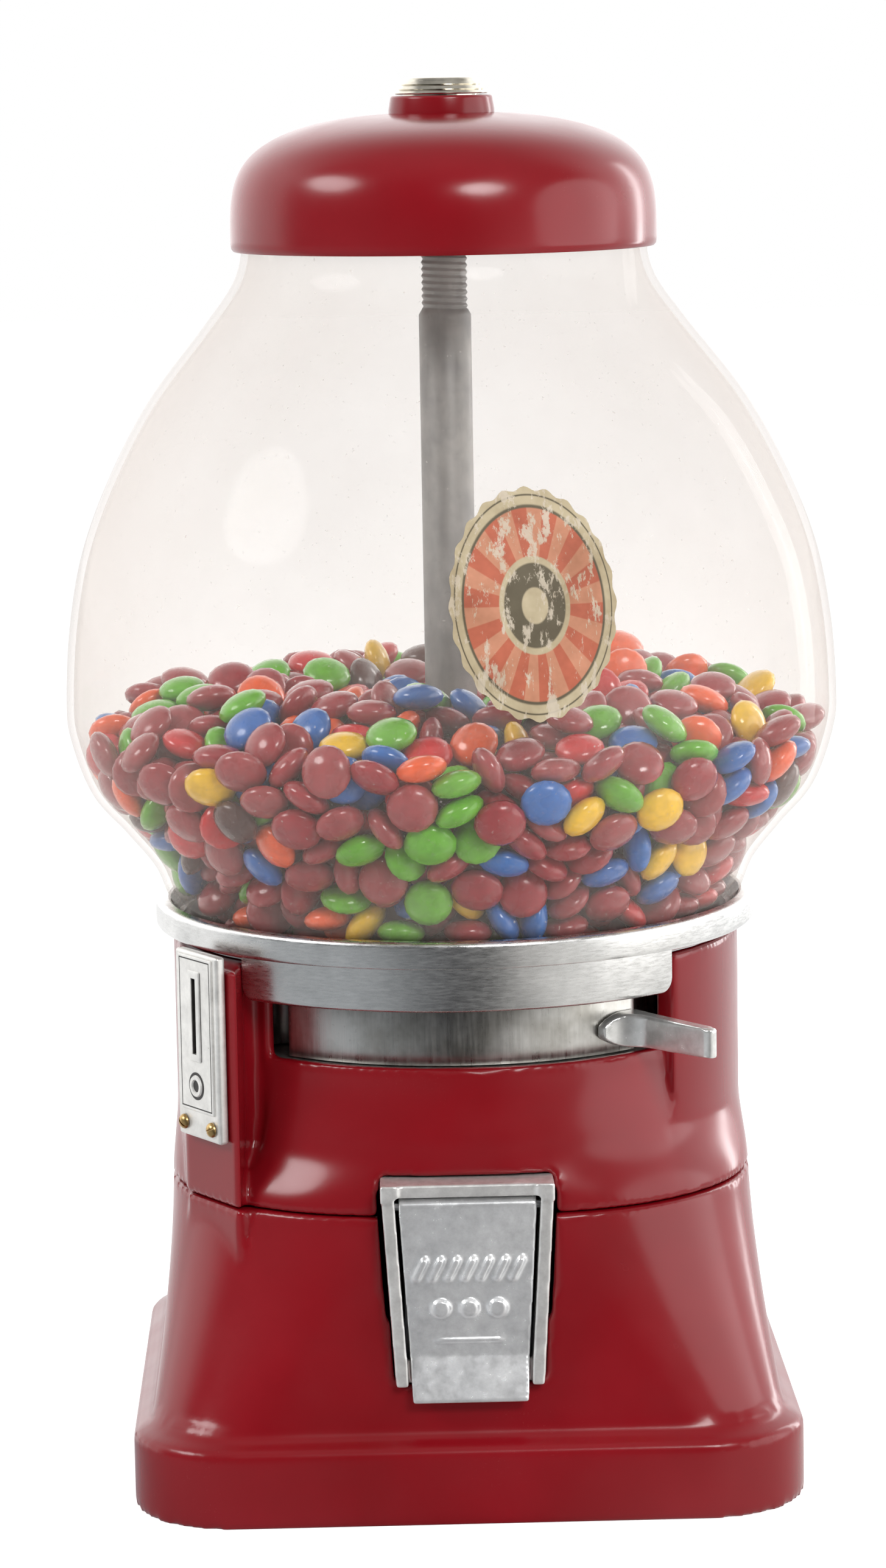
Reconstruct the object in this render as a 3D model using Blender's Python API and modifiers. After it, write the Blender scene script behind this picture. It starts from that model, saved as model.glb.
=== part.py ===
"""Countertop candy vending machine with a glass globe, a push lever and a coin slot.

Units are metres and +Z is up. The origin is on the centre rod's axis, at the level of
the surface that the machine stands on. The customer stands on the -Y side.
Azimuths are measured from that front, positive towards +X.
"""
import math

import bmesh
import bpy
from mathutils import Matrix, Vector

MM = 0.001
DEG = math.pi / 180

# Clearances shared by every piece
GAP = 0.3 * MM
OVERRUN = 3.0 * MM
MERGE = 0.01 * MM

# Smoothness of round shapes, in segments
ROUND_STEPS = 40
SMALL_STEPS = 24
CORNER_STEPS = 10
OUTLINE_STEPS = 3

# Upper body: the square seam turns into a cylinder
BODY_RADIUS = 77.2 * MM
BODY_WALL = 6.2 * MM
SEAM_HEIGHT = 80.0 * MM
SEAM_FLARE = 1.0 * MM
SEAM_HALF = BODY_RADIUS + SEAM_FLARE
SEAM_CORNER = 60.0 * MM
BODY_RISE = 18.0 * MM
BODY_ROUND_HEIGHT = SEAM_HEIGHT + BODY_RISE
BODY_RISE_SHARES = (0.0, 0.3, 0.6, 1.0)
DECK_LEDGE = 4.5 * MM
DECK_LEDGE_DEPTH = 5.0 * MM

# Lower base: a square foot whose wall eases up to the seam
WALL_SPREAD = 5.4 * MM
WALL_FOOT_HALF = SEAM_HALF + WALL_SPREAD
LEDGE_WIDTH = 5.3 * MM
FOOT_HALF = WALL_FOOT_HALF + LEDGE_WIDTH
FOOT_CORNER = 28.0 * MM
FOOT_WALL = 4.6 * MM
PLINTH_HEIGHT = 18.5 * MM
PLINTH_ROUND = 2.6 * MM
LEDGE_RISE = 1.2 * MM
COVE_RADIUS = 2.4 * MM
WALL_EASE_POWER = 1.7
BASE_WALL = 4.6 * MM
BASE_WALL_SHARES = (0.0, 0.14, 0.32, 0.54, 0.77, 1.0)

# Base plate that closes the foot, and the nut that clamps the stack
BASE_PLATE_HEIGHT = 8.0 * MM
BASE_PLATE_THICK = 1.6 * MM
ROD_NUT_ACROSS = 19.0 * MM
ROD_NUT_HEIGHT = 5.0 * MM
ROD_WASHER_RADIUS = 14.0 * MM
ROD_WASHER_THICK = 1.2 * MM

# Window that the lever moves in, and the recessed panel below it
LIP_RISE = 20.0 * MM
LIP_HEIGHT = BODY_ROUND_HEIGHT + LIP_RISE
LIP_SET_BACK = 3.2 * MM
LIP_RADIUS = BODY_RADIUS - LIP_SET_BACK
WINDOW_RIGHT = 46.6 * DEG
WINDOW_FROM_FLANK = 2.9 * DEG
WINDOW_STEPS = 16
PANEL_FROM_FLANK = 2.6 * DEG
PANEL_SHORT_OF_WINDOW = 0.2 * DEG
PANEL_DEPTH_SHARES = ((-0.16, -0.12), (0.0, 0.0), (0.3, 0.42), (0.6, 0.76), (0.94, 0.98), (1.1, 1.0))

# Valley between the coin post and the panel, fading out above the seam
VALLEY_DEPTH = 2.9 * MM
VALLEY_FROM_FLANK = -1.5 * DEG
VALLEY_STEPS = 4
VALLEY_DEPTH_SHARES = ((-0.7, -2.6), (-0.5, -1.5), (-0.25, 0.07), (0.0, 0.69), (0.3, 0.93), (0.7, 1.0))

# Coin post on the left: a flat face with the coin plate on it
POST_AZIMUTH = -57.2 * DEG
POST_PROUD = 9.3 * MM
POST_DISTANCE = BODY_RADIUS + POST_PROUD
POST_MARGIN = 4.1 * MM
POST_LEFT_MARGIN = 2.2 * MM
POST_FLANK_LEAN = 1.8 * MM
POST_FLANK_DEPTH = 13.7 * MM
POST_INNER_RADIUS = LIP_RADIUS
POST_FOOT_DROP = 34.0 * MM
POST_FOOT_HEIGHT = SEAM_HEIGHT - POST_FOOT_DROP
POST_FOOT_INNER_RADIUS = WALL_FOOT_HALF

# Deck under the dispensing wheel
DECK_BELOW_LIP = 0.6 * MM
DECK_HEIGHT = LIP_HEIGHT - DECK_BELOW_LIP
DECK_THICK = 4.0 * MM
HUB_RADIUS = 11.0 * MM
HUB_DROP = 20.4 * MM
HUB_LOW = DECK_HEIGHT - HUB_DROP

# Coin slit and the guide behind it, which set how high the body's rim is
GUIDE_LIFT = 0.5 * MM
GUIDE_LOW = DECK_HEIGHT + GUIDE_LIFT
GUIDE_WIDTH = 5.0 * MM
GUIDE_COIN_SLACK = 0.6 * MM
SLIT_LIFT = 2.2 * MM
SLIT_LOW = GUIDE_LOW + SLIT_LIFT
SLIT_HEIGHT = 20.3 * MM
SLIT_WIDTH = 2.1 * MM
GUIDE_HEADROOM = 2.0 * MM
GUIDE_HIGH = SLIT_LOW + SLIT_HEIGHT + GUIDE_HEADROOM
GUIDE_COVER = 1.0 * MM
BODY_TOP = GUIDE_HIGH + GUIDE_COVER

# Coin plate, its raised panel, the slit's frame and the screws
PLATE_WIDTH = 20.8 * MM
PLATE_THICK = 2.9 * MM
PLATE_LEFT = 0.2 * MM
PLATE_BELOW_SLIT = 22.9 * MM
PLATE_LOW = SLIT_LOW - PLATE_BELOW_SLIT
PLATE_ABOVE_SLIT = 6.8 * MM
PLATE_HIGH = SLIT_LOW + SLIT_HEIGHT + PLATE_ABOVE_SLIT
PLATE_EDGE = 0.5 * MM
PLATE_PANEL_MARGIN = 2.1 * MM
PLATE_PANEL_PROUD = 0.5 * MM
PLATE_PANEL_RISE = 7.4 * MM
PLATE_PANEL_LOW = PLATE_LOW + PLATE_PANEL_RISE
SLIT_FRAME = 1.7 * MM
SLIT_FRAME_PROUD = 0.45 * MM
SLIT_END_WIDTH = 5.6 * MM
SLIT_END_HEIGHT = 2.3 * MM
PLATE_SCREW_HEIGHT = (PLATE_LOW + PLATE_PANEL_LOW) / 2
PLATE_SCREW_INSET = 3.5 * MM
PLATE_SCREW_SPREAD = PLATE_WIDTH / 2 - PLATE_SCREW_INSET
PLATE_SCREW_HEAD = 2.0 * MM
PLATE_SCREW_DOME = 1.5 * MM
PLATE_SCREW_SHANK = 1.15 * MM
PLATE_SCREW_SLOT = 0.5 * MM

# Hopper pan: the floor that the candy lies on
PAN_DEPTH = 9.0 * MM
PAN_FLOOR = BODY_TOP - PAN_DEPTH
PAN_SHEET = 1.8 * MM
PAN_WALL_CLEARANCE = 3.4 * MM
PAN_WALL_RADIUS = BODY_RADIUS - BODY_WALL - PAN_WALL_CLEARANCE
PAN_FLANGE_INSET = 0.8 * MM
PAN_FLANGE_RADIUS = BODY_RADIUS - PAN_FLANGE_INSET
PAN_FLANGE_THICK = 1.3 * MM

# Dispensing wheel with its apron, seen through the window
WHEEL_LIFT = 0.5 * MM
PAN_CLEARANCE = 0.9 * MM
WHEEL_HEIGHT = PAN_FLOOR - PAN_CLEARANCE - DECK_HEIGHT - WHEEL_LIFT
APRON_CLEARANCE = 2.0 * MM
APRON_RADIUS = BODY_RADIUS - BODY_WALL - APRON_CLEARANCE
APRON_THICK = 7.0 * MM
WHEEL_RADIUS = APRON_RADIUS - APRON_THICK
APRON_FROM_WINDOW_LEFT = 2.3 * DEG
APRON_FROM_WINDOW_RIGHT = 5.3 * DEG
APRON_STEPS = 14
POCKET_RADIUS = 13.6 * MM
POCKET_INSET = 19.0 * MM
POCKET_DISTANCE = WHEEL_RADIUS - POCKET_INSET
POCKET_AZIMUTH = 68.0 * DEG
COIN_NOTCH_AZIMUTH = -49.2 * DEG
COIN_NOTCH_RADIUS = 5.0 * MM
DROP_EASE = 1.0 * MM
DROP_RADIUS = POCKET_RADIUS + DROP_EASE
PAN_OPENING_EASE = 1.8 * MM
PAN_OPENING = POCKET_RADIUS + PAN_OPENING_EASE
GUIDE_CLEARANCE = 3.5 * MM
GUIDE_DEPTH = POST_DISTANCE - APRON_RADIUS - GUIDE_CLEARANCE

# Push lever: a thin upright blade that stands out from the apron
LEVER_AZIMUTH = 39.4 * DEG
LEVER_REACH = 33.0 * MM
LEVER_TIP = APRON_RADIUS + LEVER_REACH
LEVER_THICK = 4.4 * MM
LEVER_TIP_THICK = 3.6 * MM
LEVER_LIFT = 1.8 * MM
LEVER_LOW = LIP_HEIGHT + LEVER_LIFT
LEVER_HEIGHT = 9.0 * MM
LEVER_TIP_HEIGHT = 7.8 * MM
LEVER_FOOT_LEFT = 8.4 * MM
LEVER_FOOT_THICK = 2.4 * MM
LEVER_FILLET = 6.5 * MM
LEVER_EDGE = 0.9 * MM
LEVER_STEPS = 6

# Return spring, wound round the hub below the deck
SPRING_TURNS = 5
SPRING_WIRE = 1.5 * MM
SPRING_GAP = 0.8 * MM
SPRING_PITCH = SPRING_WIRE + SPRING_GAP
SPRING_CLEARANCE = 3.2 * MM
SPRING_RADIUS = HUB_RADIUS + SPRING_CLEARANCE
SPRING_POINTS = 10
SPRING_LEG = 9.0 * MM

# Pawl that keeps the wheel from being turned backwards past its seat
PAWL_AZIMUTH = 135.0 * DEG
PAWL_REACH = 17.0 * MM
PAWL_THICK = 2.6 * MM
PAWL_LIFT = 3.6 * MM
PAWL_LOW = DECK_HEIGHT + PAWL_LIFT
PAWL_HEIGHT = 7.0 * MM
PAWL_PIVOT_OUT = 4.6 * MM
PAWL_PIVOT_DISTANCE = WHEEL_RADIUS + PAWL_PIVOT_OUT
PAWL_EYE = 2.9 * MM
PAWL_PIN_RADIUS = 1.3 * MM
PAWL_SEAT_GAP = 0.5 * MM

# Brush that levels the pocket
BRUSH_LENGTH = 26.0 * MM
BRUSH_WIDTH = 5.0 * MM
BRUSH_HOLDER_HEIGHT = 9.0 * MM
BRUSH_HOLDER_WALL = 1.0 * MM
BRUSH_TURN = 22.0 * DEG
BRUSH_FOOT = 8.0 * MM

# Collar: polished ring with a skirt over the window
COLLAR_LOW = BODY_TOP + PAN_FLANGE_THICK + 2 * GAP
COLLAR_HEIGHT = 7.5 * MM
COLLAR_HIGH = COLLAR_LOW + COLLAR_HEIGHT
COLLAR_FLOOR = 1.5 * MM
COLLAR_SEAT = COLLAR_LOW + COLLAR_FLOOR
COLLAR_OVERHANG = 4.6 * MM
COLLAR_RADIUS = BODY_RADIUS + COLLAR_OVERHANG
COLLAR_LIP = 1.8 * MM
COLLAR_EDGE_RADIUS = COLLAR_RADIUS - COLLAR_LIP
COLLAR_WALL = 5.2 * MM
COLLAR_SEAT_RADIUS = COLLAR_RADIUS - COLLAR_WALL
COLLAR_LEDGE = 10.2 * MM
COLLAR_BORE = COLLAR_SEAT_RADIUS - COLLAR_LEDGE
COLLAR_BEAD = 1.5 * MM
COLLAR_STEPS = 56
SKIRT_DROP = 11.0 * MM
SKIRT_LOW = COLLAR_LOW - SKIRT_DROP
SKIRT_CLEARANCE = 0.4 * MM
SKIRT_THICK = 2.1 * MM
SKIRT_RADIUS = BODY_RADIUS + SKIRT_CLEARANCE + SKIRT_THICK
SKIRT_FROM_FLANK = 1.6 * DEG
SKIRT_RIGHT = 42.8 * DEG
SKIRT_CORNER = 3.0 * MM
SKIRT_ROLL = 0.7 * MM

# Lid rim, which sets the neck of the globe below it
LID_RADIUS = 57.2 * MM
LID_RIM_WALL = 1.8 * MM
LID_RIM_BORE = LID_RADIUS - LID_RIM_WALL

# Globe: shares give the rise from foot to neck and the way from foot or neck to the widest place
GASKET_THICK = 1.0 * MM
GASKET_WIDTH = 6.6 * MM
GLOBE_RADIUS = 104.5 * MM
GLOBE_FOOT_CLEARANCE = 2.6 * MM
GLOBE_FOOT_RADIUS = COLLAR_SEAT_RADIUS - GLOBE_FOOT_CLEARANCE
GLOBE_NECK_CLEARANCE = 1.1 * MM
GLOBE_NECK_RADIUS = LID_RIM_BORE - GLOBE_NECK_CLEARANCE
GLOBE_LOW = COLLAR_SEAT + GASKET_THICK + 4 * GAP / 3
GLOBE_TALL = 183.0 * MM
GLOBE_HIGH = GLOBE_LOW + GLOBE_TALL
GLOBE_WALL = 3.6 * MM
GLOBE_FOOT_SHARES = (
    (0.0, 0.0), (0.03, 0.137), (0.08, 0.27), (0.135, 0.531), (0.19, 0.806), (0.27, 0.976), (0.33, 1.0),
)
GLOBE_NECK_SHARES = (
    (0.436, 0.971), (0.545, 0.892), (0.655, 0.733), (0.764, 0.514), (0.868, 0.221), (0.923, 0.073),
    (0.96, 0.015), (1.0, 0.0),
)
GLOBE_SPAN_STEPS = 1

# Lid and its gasket
LID_OVERLAP = 3.7 * MM
LID_LOW = GLOBE_HIGH - LID_OVERLAP
LID_DOME_TALL = 36.1 * MM
LID_DOME_HIGH = LID_LOW + LID_DOME_TALL
LID_WALL = 3.2 * MM
LID_GASKET_THICK = 1.6 * MM
LID_GASKET_WIDTH = 3.4 * MM
LID_BOSS_RADIUS = 14.2 * MM
LID_BOSS_TALL = 4.4 * MM
LID_BOSS_HIGH = LID_DOME_HIGH + LID_BOSS_TALL
LID_BOSS_DRAFT = 0.5 * MM
LID_WEB = 2.6 * MM
LID_WEB_DROP = 3.2 * MM
LID_WEB_HIGH = LID_DOME_HIGH - LID_WEB_DROP
LID_BORE_CLEARANCE = 0.5 * MM
LID_OUTLINE_SHARES = (
    (0.0, 0.988), (0.07, 1.0), (0.27, 0.994), (0.47, 0.979), (0.565, 0.955),
    (0.65, 0.916), (0.745, 0.864), (0.83, 0.773), (0.92, 0.603), (0.97, 0.42),
)
LID_SPAN_STEPS = 1

# Centre rod
ROD_RADIUS = 7.05 * MM
ROD_THREAD_STEP = 0.8 * MM
ROD_THREAD_RADIUS = ROD_RADIUS - ROD_THREAD_STEP
ROD_THREAD_SHOWN = 16.5 * MM
ROD_SHOULDER_HEIGHT = LID_LOW - ROD_THREAD_SHOWN
ROD_END_PROUD = 0.8 * MM
ROD_CLEARANCE = 0.3 * MM

# Lock nut with its key plug on top of the lid
LOCK_INSET = 1.6 * MM
LOCK_BASE_RADIUS = LID_BOSS_RADIUS - LOCK_INSET
LOCK_TAPER = 1.9 * MM
LOCK_TOP_RADIUS = LOCK_BASE_RADIUS - LOCK_TAPER
LOCK_SHOULDER = 2.4 * MM
LOCK_SHANK_RADIUS = LOCK_BASE_RADIUS - LOCK_SHOULDER
LOCK_TALL = 4.7 * MM
LOCK_HIGH = LID_BOSS_HIGH + LOCK_TALL
LOCK_PLUG_RADIUS = 5.6 * MM
LOCK_EDGE = 0.6 * MM
KEYWAY_LENGTH = 6.4 * MM
KEYWAY_WIDTH = 1.2 * MM
KEYWAY_DEPTH = 2.0 * MM

# Chute frame in the front, its flap and the duct behind it
FRAME_ABOVE_SEAM = 10.0 * MM
FRAME_TOP = SEAM_HEIGHT + FRAME_ABOVE_SEAM
FRAME_ABOVE_COVE = 11.5 * MM
FRAME_LOW = PLINTH_HEIGHT + PLINTH_ROUND + LEDGE_RISE + COVE_RADIUS + FRAME_ABOVE_COVE
FRAME_TOP_WIDTH = 45.2 * MM
FRAME_TAPER = 6.5 * MM
FRAME_LOW_WIDTH = FRAME_TOP_WIDTH - FRAME_TAPER
FRAME_RAIL = 3.35 * MM
FRAME_PROUD = 7.4 * MM
FRAME_FRONT = SEAM_HALF + FRAME_PROUD
FRAME_DEPTH = 12.6 * MM
FRAME_BACK = FRAME_FRONT - FRAME_DEPTH
FRAME_EDGE = 0.7 * MM
FRAME_KNUCKLE = 4.6 * MM
FRAME_KNUCKLE_PROUD = 0.6 * MM
SILL_SET_BACK = 4.6 * MM
SILL_FRONT = FRAME_FRONT - SILL_SET_BACK
FRAME_SIDE_SLACK = 1.3 * MM
FRAME_SLACK_RISE = 15.8 * MM
FRAME_SLACK_LOW = FRAME_LOW + FRAME_SLACK_RISE
FLAP_GAP = 0.95 * MM
FLAP_THICK = 2.0 * MM
FLAP_PIN_DROP = 6.4 * MM
FLAP_PIN_HEIGHT = FRAME_TOP - FLAP_PIN_DROP
FLAP_PIN_SET_BACK = 4.0 * MM
FLAP_PIN_DISTANCE = FRAME_FRONT - FLAP_PIN_SET_BACK
FLAP_PIN_RADIUS = 1.1 * MM
FLAP_BARREL = 2.3 * MM
FLAP_BELLY = 1.3 * MM
FLAP_CREASE_RISE = 8.3 * MM
FLAP_CREASE_HEIGHT = FRAME_LOW + FLAP_CREASE_RISE
FLAP_LIP_DROP = 3.8 * MM
FLAP_LIP_HEIGHT = FRAME_LOW - FLAP_LIP_DROP
FLAP_LIP_PROUD = 4.2 * MM
FLAP_STEPS = 6
DUCT_SHEET = 1.2 * MM
DUCT_EASE = 1.8 * MM
DUCT_TOP_HALF = DROP_RADIUS + DUCT_EASE
DUCT_FLARE = 0.2 * MM
DUCT_FRONT_HALF = DUCT_TOP_HALF + DUCT_FLARE

# Candy heap in the globe
CANDY_WALL_GAP = 0.8 * MM
CANDY_DEPTH = 62.8 * MM
CANDY_TOP = GLOBE_LOW + CANDY_DEPTH
CANDY_DIP = 10.0 * MM
CANDY_CRATER = CANDY_TOP - CANDY_DIP
CANDY_STEPS = 28
CANDY_SURFACE_SHARES = (0.0, 0.2, 0.5, 0.8, 1.0)

PARTS_NAME = "countertop_candy_machine"
parts = None
cutters = None


def clear_scene():
    """Remove what a fresh file holds and make the two collections."""
    global parts, cutters
    for item in list(bpy.data.objects):
        bpy.data.objects.remove(item, do_unlink=True)
    parts = bpy.data.collections.new(PARTS_NAME)
    cutters = bpy.data.collections.new("cutters")
    for group in (parts, cutters):
        bpy.context.scene.collection.children.link(group)


def material(name, color, roughness, metallic=0.0, transmission=0.0):
    """A plain Principled BSDF; each object gets its own."""
    mat = bpy.data.materials.new(name)
    mat.use_nodes = True
    shader = mat.node_tree.nodes["Principled BSDF"]
    shader.inputs["Base Color"].default_value = (*color, 1.0)
    shader.inputs["Roughness"].default_value = roughness
    shader.inputs["Metallic"].default_value = metallic
    shader.inputs["Transmission Weight"].default_value = transmission
    return mat


def enamel(name):
    return material(name, (0.20, 0.006, 0.012), 0.22)


def aluminium(name):
    return material(name, (0.62, 0.61, 0.58), 0.28, metallic=1.0)


def steel(name):
    return material(name, (0.36, 0.36, 0.37), 0.38, metallic=1.0)


def brass(name):
    return material(name, (0.62, 0.42, 0.16), 0.32, metallic=1.0)


def rubber(name):
    return material(name, (0.02, 0.02, 0.02), 0.7)


def finish(name, bm, mat=None, cutter=False):
    """Turn a bmesh into an object in the right collection."""
    bmesh.ops.recalc_face_normals(bm, faces=bm.faces)
    mesh = bpy.data.meshes.new(name)
    bm.to_mesh(mesh)
    bm.free()
    obj = bpy.data.objects.new(name, mesh)
    group = cutters if cutter else parts
    group.objects.link(obj)
    if cutter:
        obj.hide_render = True
        obj.display_type = "WIRE"
    if mat:
        mesh.materials.append(mat)
    return obj


def box(name, low, high, mat=None, cutter=False):
    """A box between two corners."""
    bm = bmesh.new()
    size = [high[i] - low[i] for i in range(3)]
    middle = [(high[i] + low[i]) / 2 for i in range(3)]
    bmesh.ops.create_cube(bm, size=1.0)
    bmesh.ops.scale(bm, vec=size, verts=bm.verts)
    bmesh.ops.translate(bm, vec=middle, verts=bm.verts)
    return finish(name, bm, mat, cutter)


def cylinder(name, radius, low, high, centre=(0, 0), top_radius=None, steps=SMALL_STEPS,
             mat=None, cutter=False):
    """An upright cylinder or cone."""
    bm = bmesh.new()
    top = radius if top_radius is None else top_radius
    bmesh.ops.create_cone(bm, cap_ends=True, segments=steps, radius1=radius, radius2=top,
                          depth=high - low)
    bmesh.ops.translate(bm, vec=(centre[0], centre[1], (low + high) / 2), verts=bm.verts)
    return finish(name, bm, mat, cutter)


def prism(name, outline, low, high, mat=None, cutter=False):
    """A flat outline in XY raised from one height to another."""
    return loft(name, [[(x, y, low) for x, y in outline], [(x, y, high) for x, y in outline]],
                mat=mat, cutter=cutter)


def loft(name, rings, closed=False, mat=None, cutter=False):
    """Skin rings of equal count; a closed loft joins its last ring to its first."""
    bm = bmesh.new()
    levels = [[bm.verts.new(point) for point in ring] for ring in rings]
    count = len(levels[0])
    spans = len(levels) if closed else len(levels) - 1
    for i in range(spans):
        low, high = levels[i], levels[(i + 1) % len(levels)]
        for j in range(count):
            k = (j + 1) % count
            bm.faces.new((low[j], low[k], high[k], high[j]))
    if not closed:
        bm.faces.new(levels[0])
        bm.faces.new(levels[-1])
    bmesh.ops.remove_doubles(bm, verts=bm.verts, dist=MERGE)
    bmesh.ops.dissolve_degenerate(bm, edges=bm.edges, dist=MERGE)
    if not closed:
        bmesh.ops.triangulate(bm, faces=bm.faces)
    return finish(name, bm, mat, cutter)


def revolve(name, profile, steps=ROUND_STEPS, mat=None, cutter=False):
    """Turn a closed (radius, height) outline that runs down its outer side."""
    bm = bmesh.new()
    points = [bm.verts.new((radius, 0, height)) for radius, height in profile]
    on_axis = profile[0][0] == 0 and profile[-1][0] == 0
    for i in range(len(points) - 1):
        bm.edges.new((points[i], points[i + 1]))
    if not on_axis:
        bm.edges.new((points[-1], points[0]))
    mesh = bpy.data.meshes.new(name)
    bm.to_mesh(mesh)
    bm.free()
    obj = bpy.data.objects.new(name, mesh)
    (cutters if cutter else parts).objects.link(obj)
    if cutter:
        obj.hide_render = True
        obj.display_type = "WIRE"
    if mat:
        mesh.materials.append(mat)
    screw = obj.modifiers.new("turn", "SCREW")
    screw.angle = 2 * math.pi
    screw.steps = steps
    screw.render_steps = steps
    screw.use_merge_vertices = True
    screw.merge_threshold = MERGE
    return obj


def boolean(obj, other, operation):
    """Cut, join or intersect with a cutter object."""
    mod = obj.modifiers.new(operation.lower(), "BOOLEAN")
    mod.operation = operation
    mod.object = other
    mod.solver = "EXACT"
    return mod


def cut(obj, *others):
    for other in others:
        boolean(obj, other, "DIFFERENCE")


def join(obj, *others):
    for other in others:
        boolean(obj, other, "UNION")


def bevel(obj, width, segments=2, angle=35 * DEG):
    """Round the sharp edges."""
    mod = obj.modifiers.new("rounded", "BEVEL")
    mod.width = width
    mod.segments = segments
    mod.limit_method = "ANGLE"
    mod.angle_limit = angle
    return mod


def on_azimuth(azimuth, distance):
    """The point at a distance from the axis, in the direction of an azimuth."""
    return (distance * math.sin(azimuth), -distance * math.cos(azimuth))


def turned(obj, azimuth, distance=0.0):
    """Turn a piece modelled facing -Y so that it faces an azimuth, at a distance."""
    x, y = on_azimuth(azimuth, distance)
    obj.location = (x, y, 0)
    obj.rotation_euler = (0, 0, azimuth)
    return obj


def sector(inner, outer, start, end, steps):
    """Outline of a ring sector."""
    angles = [start + (end - start) * i / steps for i in range(steps + 1)]
    rim = [on_azimuth(angle, outer) for angle in angles]
    return rim + [on_azimuth(angle, inner) for angle in reversed(angles)]


def rounded_square(half, corner, height):
    """A ring with four corner arcs; with the corner as large as the half it is a circle."""
    ring = []
    for quarter in range(4):
        start = quarter * math.pi / 2
        middle = Vector((half - corner, half - corner))
        for i in range(CORNER_STEPS + 1):
            angle = i * math.pi / 2 / CORNER_STEPS
            point = middle + corner * Vector((math.cos(angle), math.sin(angle)))
            point.rotate(Matrix.Rotation(start, 2))
            ring.append((point.x, point.y, height))
    return ring


def smooth(points, per_span):
    """A curve through points, as a Catmull-Rom spline."""
    padded = [points[0], *points, points[-1]]
    curve = []
    for i in range(1, len(padded) - 2):
        a, b, c, d = (Vector(padded[i + k]) for k in (-1, 0, 1, 2))
        for step in range(per_span):
            t = step / per_span
            curve.append(0.5 * (2 * b + (c - a) * t + (2 * a - 5 * b + 4 * c - d) * t ** 2
                                + (3 * b - a - 3 * c + d) * t ** 3))
    curve.append(Vector(points[-1]))
    return curve


def inset(curve, distance):
    """Move an open (radius, height) curve to its inner side by a distance."""
    moved = []
    for i, point in enumerate(curve):
        ahead = curve[min(i + 1, len(curve) - 1)]
        behind = curve[max(i - 1, 0)]
        along = (ahead - behind).normalized()
        moved.append(point + distance * Vector((-abs(along.y), along.x)))
    return moved


def wall_half(share):
    """Half width of the base wall at a share of its height."""
    return SEAM_HALF + (WALL_FOOT_HALF - SEAM_HALF) * (1 - share) ** WALL_EASE_POWER


def wall_corner(share):
    """Corner radius of the base wall at a share of its height."""
    return FOOT_CORNER + (SEAM_CORNER - FOOT_CORNER) * share


def frame_half(height, slack=0.0):
    """Half width of the chute frame's outline at a height."""
    share = (height - FRAME_LOW) / (FRAME_TOP - FRAME_LOW)
    return (FRAME_LOW_WIDTH + (FRAME_TOP_WIDTH - FRAME_LOW_WIDTH) * share) / 2 + slack


def upright(name, low, high, slack, front, back, cutter=True, mat=None):
    """A block with the chute frame's tapering sides."""
    rings = []
    for height in (low, high):
        half = frame_half(height, slack)
        rings.append([(-half, -front, height), (half, -front, height),
                      (half, -back, height), (-half, -back, height)])
    return loft(name, rings, mat=mat, cutter=cutter)


def frame_openings(top):
    """Cutters for the hole that the chute frame sits in."""
    front = FRAME_FRONT + OVERRUN + FOOT_HALF - SEAM_HALF
    back = FRAME_BACK - OVERRUN
    snug = upright("frame_hole", FRAME_LOW - GAP, FRAME_TOP + GAP, GAP, front, back)
    wide = upright("frame_side_slots", FRAME_SLACK_LOW, top, FRAME_SIDE_SLACK, front, back)
    return snug, wide


def build_lower_base():
    """Foot, plinth and eased wall as one shell, open below and at the seam."""
    rings = [rounded_square(FOOT_HALF, FOOT_CORNER, 0)]
    plinth_side = PLINTH_HEIGHT
    for i in range(OUTLINE_STEPS + 1):
        angle = i * math.pi / 2 / OUTLINE_STEPS
        inward = PLINTH_ROUND * (1 - math.cos(angle))
        rise = PLINTH_ROUND * math.sin(angle)
        rings.append(rounded_square(FOOT_HALF - inward, FOOT_CORNER - inward, plinth_side + rise))
    ledge_high = plinth_side + PLINTH_ROUND + LEDGE_RISE
    wall_low = ledge_high + COVE_RADIUS
    foot_inward = FOOT_HALF - WALL_FOOT_HALF
    rings.append(rounded_square(FOOT_HALF - foot_inward + COVE_RADIUS / 2,
                                FOOT_CORNER - PLINTH_ROUND, ledge_high))
    for share in BASE_WALL_SHARES:
        height = wall_low + (SEAM_HEIGHT - GAP / 2 - wall_low) * share
        rings.append(rounded_square(wall_half(share), wall_corner(share), height))
    for share in reversed(BASE_WALL_SHARES):
        height = wall_low + (SEAM_HEIGHT - GAP / 2 - wall_low) * share
        rings.append(rounded_square(wall_half(share) - BASE_WALL,
                                    wall_corner(share) - BASE_WALL, height))
    shelf = BASE_PLATE_HEIGHT + BASE_PLATE_THICK + GAP
    rings.append(rounded_square(WALL_FOOT_HALF - BASE_WALL, FOOT_CORNER - BASE_WALL, shelf))
    rings.append(rounded_square(FOOT_HALF - FOOT_WALL, FOOT_CORNER - FOOT_WALL, shelf))
    rings.append(rounded_square(FOOT_HALF - FOOT_WALL, FOOT_CORNER - FOOT_WALL, 0))
    base = loft("lower_base", rings, closed=True, mat=enamel("base_enamel"))
    join(base, post_block("base_post", POST_FOOT_HEIGHT, SEAM_HEIGHT - GAP / 2,
                          POST_FOOT_INNER_RADIUS))
    cut(base, *frame_openings(SEAM_HEIGHT + OVERRUN))
    return base


def post_point(along, inward=0.0):
    """A point of the coin post's face, as (x, y)."""
    foot = Vector(on_azimuth(POST_AZIMUTH, POST_DISTANCE - inward))
    return foot + along * Vector((math.cos(POST_AZIMUTH), math.sin(POST_AZIMUTH)))


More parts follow.
